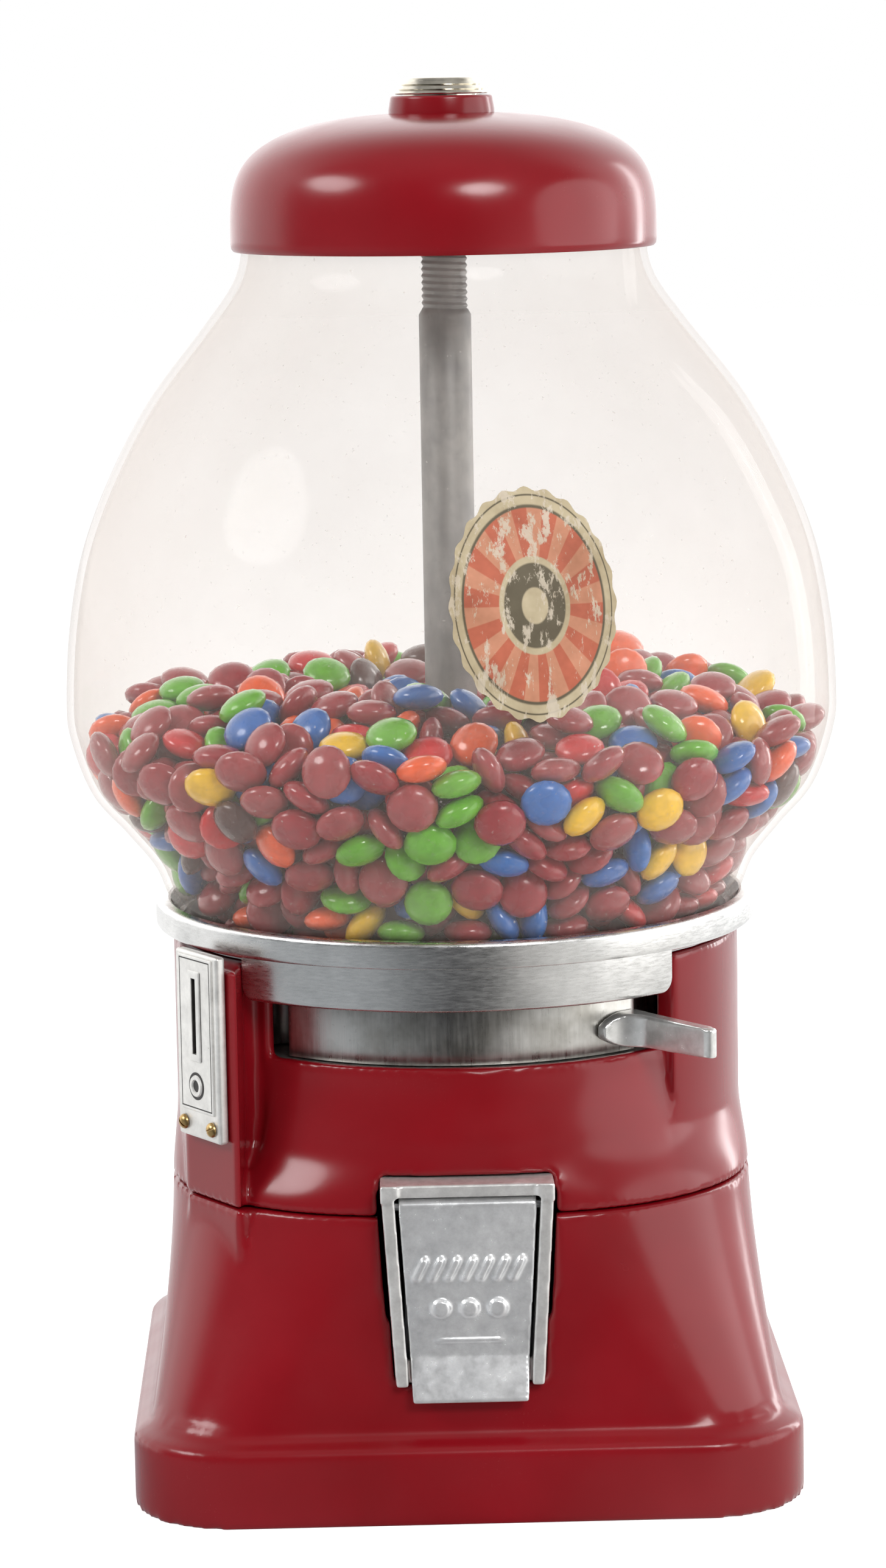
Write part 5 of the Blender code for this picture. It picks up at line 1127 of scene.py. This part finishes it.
def flap_front(share):
    """How far the flap's front stands out of the pin's middle, by the share of the way down."""
    return (FLAP_BARREL * (1 - share) + FLAP_BELLY * math.sin(math.pi * share) + FLAP_THICK * share)


def make_flap():
    """Lift-up flap: bellied plate with raised bars and studs, a crease and a lip."""
    steps = 24
    whole = [(flap_front(share), -FLAP_TALL * share) for share in (i / steps for i in range(steps + 1))]
    whole.append((whole[-1][0] + FLAP_LIP_PROUD, FLAP_LIP_HEIGHT - FLAP_PIN_HEIGHT))
    outline = whole + [(out - FLAP_THICK, drop) for out, drop in reversed(whole)]

    def half(height):
        return frame_half(max(height, FRAME_LOW)) - FRAME_RAIL - FLAP_GAP

    flap = loft("lift_flap", [[(side * half(FLAP_PIN_HEIGHT + drop), -FLAP_PIN_DISTANCE - out,
                                FLAP_PIN_HEIGHT + drop) for out, drop in outline]
                              for side in (-1, 1)])
    pin = (0, -FLAP_PIN_DISTANCE, FLAP_PIN_HEIGHT)
    wide = half(FLAP_PIN_HEIGHT)
    barrel = laid_over(cylinder("barrel", FLAP_BARREL, -wide, wide, steps=32), "Y", pin)
    join(flap, barrel, *flap_relief())
    cut(flap, laid_over(cylinder("bore", FLAP_BORE, -FRAME_TOP_WIDTH, FRAME_TOP_WIDTH, steps=32),
                        "Y", pin))
    soften(flap, 0.42 * MM, 3)
    return place(flap, "flap", "flap", "polished_aluminium", "chute_flap")


def flap_relief():
    """A row of raised slanted bars, three studs below it and a thin rib above the crease."""
    proud, sunk = 1.25 * MM, 0.9 * MM

    def raised(x, drop, outline, height):
        rings = []
        for lift, grow in ((-sunk, 1.12), (0.0, 1.06), (height, 0.78)):
            rings.append([(x + grow * a, -FLAP_PIN_DISTANCE
                           - flap_front(min(-(drop + grow * b) / FLAP_TALL, 1.0)) - lift,
                           FLAP_PIN_HEIGHT + drop + grow * b) for a, b in outline])
        return loft("relief", rings)

    round_end, lean, reach, end_steps = 0.95 * MM, 1.25 * MM, 2.5 * MM, 8
    slanted = []
    for side in (1, -1):
        for i in range(end_steps + 1):
            angle = math.atan2(reach, lean) - side * math.pi / 2 + i * math.pi / end_steps
            slanted.append((side * lean + round_end * math.cos(angle),
                            side * reach + round_end * math.sin(angle)))
    stud = [point[:2] for point in circle(2.6 * MM, 0, 32)]
    long, thin = 9 * MM, 0.5 * MM
    rib = [(long, -thin), (long, thin), (-long, thin), (-long, -thin)]
    forms = []
    for outline, count, spacing, drop, height in ((slanted, 7, 4.2 * MM, -16.0 * MM, proud),
                                                  (stud, 3, 7.4 * MM, -26.5 * MM, proud),
                                                  (rib, 1, 0, -35.2 * MM, proud / 2)):
        forms += [raised((i - (count - 1) / 2) * spacing, drop, outline, height)
                  for i in range(count)]
    return forms


def make_coin_plate():
    """Coin plate with its raised panel, framed slit and an embossed ring below it."""
    back, front, embed = -GAP, -GAP - PLATE_THICK, -PLATE_THICK / 2
    plate = bevel(box("coin_entry", (PLATE_LEFT, front, PLATE_LOW),
                      (PLATE_LEFT + PLATE_WIDTH, back, PLATE_HIGH)), 0.9 * MM, 4)
    margin, proud, edge = 2.1 * MM, 0.5 * MM, 0.3 * MM
    border, border_proud, end_half, end_tall = 1.7 * MM, 0.45 * MM, 2.8 * MM, 2.3 * MM
    panel_low, panel_face = PLATE_LOW + PLATE_PANEL_RISE, front - proud
    face = panel_face - border_proud
    half = SLIT_WIDTH / 2
    rim = half + border
    raised = [((PLATE_LEFT + margin, panel_face, panel_low),
               (PLATE_LEFT + PLATE_WIDTH - margin, embed, PLATE_HIGH - margin / 2)),
              ((PLATE_MIDDLE - rim, face, SLIT_LOW - border),
               (PLATE_MIDDLE + rim, embed, SLIT_HIGH + border))]
    for low in (SLIT_LOW - border - GAP, SLIT_HIGH + border + GAP - end_tall):
        raised.append(((PLATE_MIDDLE - end_half, face + 0.05 * MM, low),
                       (PLATE_MIDDLE + end_half, embed, low + end_tall)))
    parts = [bevel(box("raised", low, high), edge) for low, high in raised]
    ring_spot = (PLATE_MIDDLE, panel_face, (panel_low + SLIT_LOW - border) / 2)
    ring = [(1.5, 0), (1.8, 0.5), (2.7, 0.5), (3.0, 0), (3.0, -1), (1.5, -1)]
    parts.append(laid_over(revolve("ring", [(r * MM, z * MM) for r, z in ring], 48), "X", ring_spot))
    join(plate, *parts)
    cutters = [box("slit", (PLATE_MIDDLE - half, face - OVERRUN, SLIT_LOW),
                   (PLATE_MIDDLE + half, OVERRUN, SLIT_HIGH))]
    groove, inward, slack, line_depth = 0.35 * MM, 0.75 * MM, 0.02 * MM, 0.25 * MM
    x0, x1 = PLATE_LEFT + margin + inward, PLATE_LEFT + PLATE_WIDTH - margin - inward
    z0, z1 = panel_low + inward, PLATE_HIGH - margin / 2 - inward
    for low, high in (((x0, z0), (x0 + groove, z1)), ((x1 - groove, z0), (x1, z1)),
                      ((x0, z0), (x1, z0 + groove)), ((x0, z1 - groove), (x1, z1))):
        cutters.append(box("line", (low[0], panel_face - OVERRUN, low[1]),
                           (high[0], panel_face + edge, high[1])))
    cut(plate, *cutters)
    bars = [((x0 + slack, z0), (x0 + groove - slack, z1)),
            ((x1 - groove + slack, z0), (x1 - slack, z1)),
            ((x0 + groove, z0 + slack), (x1 - groove, z0 + groove - slack)),
            ((x0 + groove, z1 - groove + slack), (x1 - groove, z1 - slack))]
    for side in (-1, 1):
        left, right = sorted(PLATE_MIDDLE + side * out for out in (rim, rim + 0.3 * MM))
        bars.append(((left, SLIT_LOW - border), (right, SLIT_HIGH + border)))
    inlay = [box("bar", (low[0], panel_face - slack, low[1]),
                 (high[0], panel_face + line_depth, high[1])) for low, high in bars]
    # painted shade: a dark strip on the slit's far wall stands for the shade deep in the slit; the bars
    # and marks are dark paint
    inlay.append(box("slit_shade_liner", (PLATE_MIDDLE - half - 0.05 * MM, face + line_depth, SLIT_LOW + slack),
                     (PLATE_MIDDLE - half + 0.15 * MM, back - slack, SLIT_HIGH - slack)))
    mark_proud, mark_sunk = 0.08 * MM, -0.3 * MM
    for inner, outer in ((0.0, 1.55 * MM), (2.95 * MM, 3.7 * MM)):
        mark = revolve("mark", [(inner, mark_proud), (outer, mark_proud), (outer, mark_sunk),
                                (inner, mark_sunk)], 48, closed=inner > 0)
        inlay.append(laid_over(mark, "X", ring_spot))
    for obj, finish, slot in ((gather("plate_inlay_and_slit_shade", inlay), "ink_and_slit_shade", "rubber"),
                              (plate, "plate", "plate_aluminium")):
        shade(turned(obj, POST_AZIMUTH, POST_DISTANCE), 25)
        place(obj, "root", finish, slot, "coin_plate")
    for side, name in ((-1, "plate_screw_left"), (1, "plate_screw_right")):
        make_screw(name, PLATE_MIDDLE + side * (PLATE_WIDTH / 2 - 3.5 * MM))


def make_screw(name, along):
    """Round-head slotted screw."""
    head, dome, shank, steps = 2.0 * MM, 1.5 * MM, 1.15 * MM, 24
    rim, slot_half, slot_low = 0.15 * MM, 0.25 * MM, 0.45
    reach = -PLATE_THICK - GAP / 2
    profile = [(head * math.sin(a), dome * math.cos(a))
               for a in (i * math.pi / steps for i in range(steps // 2))]
    profile += [(head, rim), (head, 0), (shank, 0), (shank, reach), (0, reach)]
    side = name.removeprefix("plate_screw_")
    screw = revolve("round_head_" + side, profile, 48, closed=False)
    cut(screw, box("slot", (-2 * head, -slot_half, dome * slot_low), (2 * head, slot_half, 2 * dome)))
    foot = on_azimuth(POST_AZIMUTH, POST_DISTANCE + PLATE_THICK + 2 * GAP)
    spot = foot + along * Vector((math.cos(POST_AZIMUTH), math.sin(POST_AZIMUTH)))
    turn = {"left": -40, "right": 25}[side] * DEG
    screw.matrix_world = (Matrix.Translation((spot.x, spot.y, PLATE_LOW + PLATE_PANEL_RISE / 2))
                          @ Matrix.Rotation(POST_AZIMUTH, 4, "Z")
                          @ Matrix.Rotation(math.pi / 2, 4, "X") @ Matrix.Rotation(turn, 4, "Z"))
    shade(bake_mesh(screw), 30)
    return place(screw, "root", "brass", "brass", name)


CANDY_COLORS = {
    "dusty_red": ((0.33, 0.025, 0.036), 0.49, 0.9),
    "bright_red": ((0.62, 0.014, 0.020), 0.10, 0.3),
    "green": ((0.13, 0.46, 0.02), 0.15, 0.35),
    "blue": ((0.010, 0.15, 0.50), 0.09, 0.35),
    "yellow": ((0.92, 0.56, 0.01), 0.06, 0.25),
    "orange": ((0.92, 0.12, 0.02), 0.08, 0.35),
    "brown": ((0.065, 0.022, 0.018), 0.03, 0.6),
}
SIM_SCALE = 100.0
SETTLE_FRAMES = 45


def glass_radius(curve, height):
    """Inner radius of the globe, or of the pan below it, at a height."""
    if height < curve[0].y:
        return PAN_BORE
    for low, high in zip(curve, curve[1:]):
        if low.y <= height <= high.y:
            return low.x + (high.x - low.x) * (height - low.y) / max(high.y - low.y, 1e-6)
    return curve[-1].x


def core_profile(curve):
    """A plain core that stands for the candy that nobody sees."""
    crown, crown_radius, crown_edge = 183 * MM, 30 * MM, 187 * MM
    return ([(ROD_RADIUS, CORE_HEIGHTS[0])]
            + [(glass_radius(curve, height) - CORE_SHELL, height) for height in CORE_HEIGHTS]
            + [(crown_radius, crown_edge), (ROD_RADIUS, crown)])


def settle_candy(rng):
    """Drop the lentils between the glass and the core and return where they come to rest."""
    curve = inset(globe_curve(3), GLOBE_WALL)
    core = core_profile(curve)
    pan = [(ROD_RADIUS, PAN_TOP), (PAN_BORE, PAN_TOP), (PAN_BORE, curve[0].y)]
    walls = [revolve(name, [(r * SIM_SCALE, z * SIM_SCALE) for r, z in profile], 64, closed=False)
             for name, profile in (("sim_glass", pan + [tuple(p) for p in curve]),
                                   ("sim_core", core),
                                   ("sim_rod", [(ROD_RADIUS, 130 * MM), (ROD_RADIUS, 320 * MM)]))]
    bm = bmesh.new()
    bmesh.ops.create_uvsphere(bm, u_segments=12, v_segments=6, radius=SIM_SCALE)
    bmesh.ops.scale(bm, vec=(LENTIL_RADIUS, LENTIL_RADIUS, LENTIL_HALF), verts=bm.verts)
    hull = bpy.data.meshes.new("sim_lentil")
    bm.to_mesh(hull)
    bm.free()

    def core_radius(height):
        flank = core[1:1 + len(CORE_HEIGHTS)]
        for (r0, z0), (r1, z1) in zip(flank, flank[1:]):
            if z0 <= height <= z1:
                return r0 + (r1 - r0) * (height - z0) / (z1 - z0)
        return 0

    def has_room(radius, height):
        reach = min(glass_radius(curve, height), glass_radius(curve, height + 3 * MM))
        top = (HEAP_MIDDLE + HEAP_RIM_RISE * min(1, radius / HEAP_RIM_RADIUS) ** 2) * MM
        return (radius <= reach - DROP_MARGIN and radius >= DROP_CLEAR_OF_ROD and height <= top
                and radius >= core_radius(height - 4 * MM) + DROP_MARGIN)

    lentils = []
    height, layer, reach = DROP_LOW, 0, 9
    while height < DROP_HIGH:
        shift = (layer % 2) * DROP_STEP / 2
        for ix in range(-reach, reach + 1):
            for iy in range(-reach, reach + 1):
                x, y = ix * DROP_STEP + shift, iy * DROP_STEP + shift
                if not has_room(math.hypot(x, y), height):
                    continue
                lentil = linked("sim", hull)
                lentil.location = [
                    SIM_SCALE * (value + rng.uniform(-DROP_JITTER, DROP_JITTER) * MM)
                    for value in (x, y, height)]
                turn = Quaternion([rng.gauss(0, 1) for _ in range(4)])
                turn.normalize()
                lentil.rotation_mode = "QUATERNION"
                lentil.rotation_quaternion = turn
                lentils.append(lentil)
        height += DROP_RISE
        layer += 1
    return run_simulation(lentils, walls, curve)


def run_simulation(lentils, walls, curve):
    scene = bpy.context.scene
    bpy.ops.rigidbody.world_add()
    world = scene.rigidbody_world
    world.substeps_per_frame = 4
    world.solver_iterations = 8
    world.point_cache.frame_end = SETTLE_FRAMES
    gravity = tuple(scene.gravity)
    scene.gravity = (0, 0, -60)
    settings = {"friction": 0.5, "restitution": 0, "use_margin": True, "collision_margin": 0.01,
                "linear_damping": 0.1, "angular_damping": 0.3}
    for group, kind, shape in ((walls, "PASSIVE", "MESH"), (lentils, "ACTIVE", "CONVEX_HULL")):
        bpy.ops.object.select_all(action="DESELECT")
        for obj in group:
            obj.select_set(True)
        bpy.context.view_layer.objects.active = group[0]
        bpy.ops.rigidbody.objects_add(type=kind)
        for obj in group:
            obj.rigid_body.collision_shape = shape
            for name, value in settings.items():
                setattr(obj.rigid_body, name, value)
    for step in range(1, SETTLE_FRAMES + 1):
        scene.frame_set(step)
    graph = bpy.context.evaluated_depsgraph_get()
    rest = []
    for lentil in lentils:
        matrix = lentil.evaluated_get(graph).matrix_world.copy()
        centre = matrix.translation / SIM_SCALE
        if (math.hypot(centre.x, centre.y) < glass_radius(curve, centre.z)
                and PAN_TOP < centre.z < GLOBE_HIGH):
            rest.append((centre, matrix.to_3x3().normalized()))
    bpy.ops.rigidbody.world_remove()
    for obj in lentils + walls:
        bpy.data.objects.remove(obj)
    scene.gravity = gravity
    scene.frame_set(1)
    return rest


def lentil_shape():
    """Corners and faces of one lentil, ring by ring from its lower pole to its upper one."""
    around, levels = 16, 8
    points = [Vector((0, 0, -LENTIL_HALF))]
    for level in range(1, levels):
        tilt = math.pi * level / levels
        points += [Vector(spot) for spot in circle(LENTIL_RADIUS * math.sin(tilt),
                                                   -LENTIL_HALF * math.cos(tilt), around)]
    points.append(Vector((0, 0, LENTIL_HALF)))
    last, top = len(points) - 1 - around, len(points) - 1
    faces = []
    for i in range(around):
        k = (i + 1) % around
        faces.append([0, 1 + k, 1 + i])
        for low in range(1, last, around):
            faces.append([low + i, low + k, low + around + k, low + around + i])
        faces.append([last + i, last + k, top])
    return points, faces


def make_candy():
    """Sugar-shelled lentils, settled as a heap, one piece for each colour."""
    rng = random.Random(11)
    rest = settle_candy(rng)
    names = list(CANDY_COLORS)
    weights = [CANDY_COLORS[name][1] for name in names]
    groups = {name: [] for name in names}
    for centre, turn in rest:
        groups[rng.choices(names, weights)[0]].append((centre, turn, rng.uniform(0.95, 1.04)))
    points, faces = lentil_shape()
    for name in names:
        color, _, dusty = CANDY_COLORS[name]
        mesh = bpy.data.meshes.new("lentils_" + name)
        placed, joined = [], []
        for centre, turn, size in groups[name]:
            first = len(placed)
            placed += [centre + turn @ (point * size) for point in points]
            joined += [[first + i for i in face] for face in faces]
        mesh.from_pydata(placed, [], joined)
        mesh.shade_smooth()
        heap = linked("lentils_" + name, mesh)
        MATERIALS[name] = candy("shell_" + name, color, dusty)
        place(heap, "root", name, "candy", "candy_heap")
    core = revolve("heap_core", core_profile(inset(globe_curve(3), GLOBE_WALL)), 64, closed=True)
    # painted shade: the core is painted dark, as the hidden candy deep in the heap lies in shade
    MATERIALS["core"] = candy("shell_core_painted_shade", (0.05, 0.012, 0.012), 0.5)
    place(shade(core), "root", "core", "candy", "candy_heap")


FLOOR_LIFT = 0.63
FLOOR_GLOSS = 1.15
GLOSS_GAIN = 1.7
FLOOR_HALF = 6.0

KEPT_NODES = {
    "base_plate": "zinc", "rod_washer": "steel", "rod_nut": "steel", "mech_deck": "cast",
    "return_spring": "steel", "pawl_pin": "steel", "rotor_pawl": "steel", "coin_guide": "zinc",
    "hopper_pan": "zinc", "brush_holder": "steel", "leveling_brush": "fibre",
    "globe_gasket": "rubber", "lid_gasket": "rubber", "chute_duct": "zinc", "flap_pin": "steel",
}


def dress_kept_nodes():
    """Give the frame's own nodes their finish."""
    for name, finish in KEPT_NODES.items():
        coat(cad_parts[name], finish)


def surroundings(tree, x, y):
    """What metal and gloss mirror: dim in front, brighter to the sides, white behind."""
    flat = node(tree, "VectorMath", {0: node(tree, "CombineXYZ", {"X": x, "Y": y}).outputs[0]},
                operation="NORMALIZE")
    way = node(tree, "SeparateXYZ", {0: flat.outputs[0]})
    before = ramp(tree, to_share(tree, way.outputs["X"]), (0.0, (0.46, 0.48, 0.50)),
                  (0.16, (0.38, 0.40, 0.42)), (0.34, (0.20, 0.21, 0.22)), (0.46, (0.08, 0.08, 0.085)),
                  (0.60, (0.11, 0.11, 0.11)), (0.70, (0.45, 0.44, 0.43)), (0.80, (0.80, 0.79, 0.77)),
                  (1.0, (0.85, 0.84, 0.82)))
    behind = ramp(tree, to_share(tree, way.outputs["Y"]), (0.48, 0.0), (0.6, 1.0))
    return mix(tree, behind, before, (1.0, 1.0, 1.0))


def floor_material():
    """White where the camera looks, shaded by the object, and dim in what gloss mirrors."""
    mat, tree, bsdf = new_material("floor_white", 0.9)
    bsdf.inputs["Base Color"].default_value = (0.9, 0.9, 0.9, 1.0)
    bsdf.inputs["Specular IOR Level"].default_value = 0.0
    path, seen = rays_seen(tree)
    glow = node(tree, "Emission", {"Color": (1, 1, 1, 1),
                                   "Strength": math_node(tree, "MULTIPLY", seen, FLOOR_LIFT)})
    both = node(tree, "AddShader", {0: bsdf.outputs[0], 1: glow.outputs[0]})
    spot = node(tree, "SeparateXYZ", {0: node(tree, "TexCoord").outputs["Object"]})
    room = surroundings(tree, spot.outputs["X"], spot.outputs["Y"])
    mirrored = node(tree, "Emission", {"Color": room, "Strength": FLOOR_GLOSS})
    blend = node(tree, "MixShader", {0: path.outputs["Is Glossy Ray"], 1: both.outputs[0],
                                     2: mirrored.outputs[0]})
    surface(tree, blend)
    return mat


def make_stage():
    """Pale floor and the world around it."""
    bm = bmesh.new()
    bmesh.ops.create_grid(bm, x_segments=1, y_segments=1, size=FLOOR_HALF)
    floor = new_object("studio_floor", bm)
    floor.data.materials.append(floor_material())
    world = bpy.context.scene.world or bpy.data.worlds.new("World")
    bpy.context.scene.world = world
    world.use_nodes = True
    tree = world.node_tree
    tree.nodes.clear()
    path, seen = rays_seen(tree)
    sides = node(tree, "SeparateXYZ", {0: node(tree, "TexCoord").outputs["Generated"]})
    room = surroundings(tree, sides.outputs["X"], sides.outputs["Y"])
    overhead = ramp(tree, sides.outputs["Z"], (0.55, 0.0), (0.95, 1.0))
    fore = ramp(tree, to_share(tree, sides.outputs["Y"]), (0.44, 0.3), (0.62, 1.0))
    room = mix(tree, overhead, mix(tree, 1.0, room, fore, "MULTIPLY"), (0.3, 0.3, 0.3))
    room = mix(tree, 1.0, room, (GLOSS_GAIN, GLOSS_GAIN, GLOSS_GAIN), "MULTIPLY")
    shine = mix(tree, path.outputs["Is Glossy Ray"], (0.42, 0.42, 0.42), room)
    color = mix(tree, seen, shine, (1.0, 1.0, 1.0))
    back = node(tree, "Background", {"Color": color, "Strength": 1.0})
    tree.links.new(back.outputs[0], node(tree, "OutputWorld").inputs["Surface"])


def make_lights():
    """Soft oval lamps, all aimed at the object's middle: place, size and power."""
    middle = Vector((0, 0, 0.19))
    for name, spot, size, power in (("key_left", (-1.41, -0.51, 1.25), (0.9, 0.6), 15),
                                    ("key_right", (0.55, -1.45, 1.15), (0.7, 0.45), 13),
                                    ("soft_right", (1.42, -0.34, 0.42), (1.6, 1.3), 11),
                                    ("rim_right", (0.95, 0.75, 0.35), (0.15, 1.2), 4)):
        light = bpy.data.lights.new(name, "AREA")
        light.shape = "ELLIPSE"
        light.size, light.size_y = size
        light.energy = power
        lamp = linked(name, light)
        lamp.location = spot
        lamp.rotation_mode = "QUATERNION"
        lamp.rotation_quaternion = (middle - Vector(spot)).to_track_quat("-Z", "Y")


def make_camera():
    """Long lens a little above the object, as the photograph was taken."""
    data = bpy.data.cameras.new("camera")
    data.lens = 107.1
    data.sensor_width = 36
    camera = linked("camera", data)
    yaw, above, roll = -1.2 * DEG, 8.7, -1.0 * DEG
    camera.matrix_world = (Matrix.Translation((-0.0291, -1.2601, 0.3746))
                           @ Matrix.Rotation(yaw, 4, "Z")
                           @ Matrix.Rotation((90 - above) * DEG, 4, "X")
                           @ Matrix.Rotation(roll, 4, "Z"))
    bpy.context.scene.camera = camera


for make in (make_candy, make_upper_casting, make_lower_casting, make_lid, make_globe, make_label,
             make_collar, make_wheel, make_lever, make_rod, make_lock, make_chute_frame, make_flap,
             make_coin_plate, dress_kept_nodes, make_stage, make_lights, make_camera):
    make()
bpy.context.scene.view_settings.view_transform = "Standard"
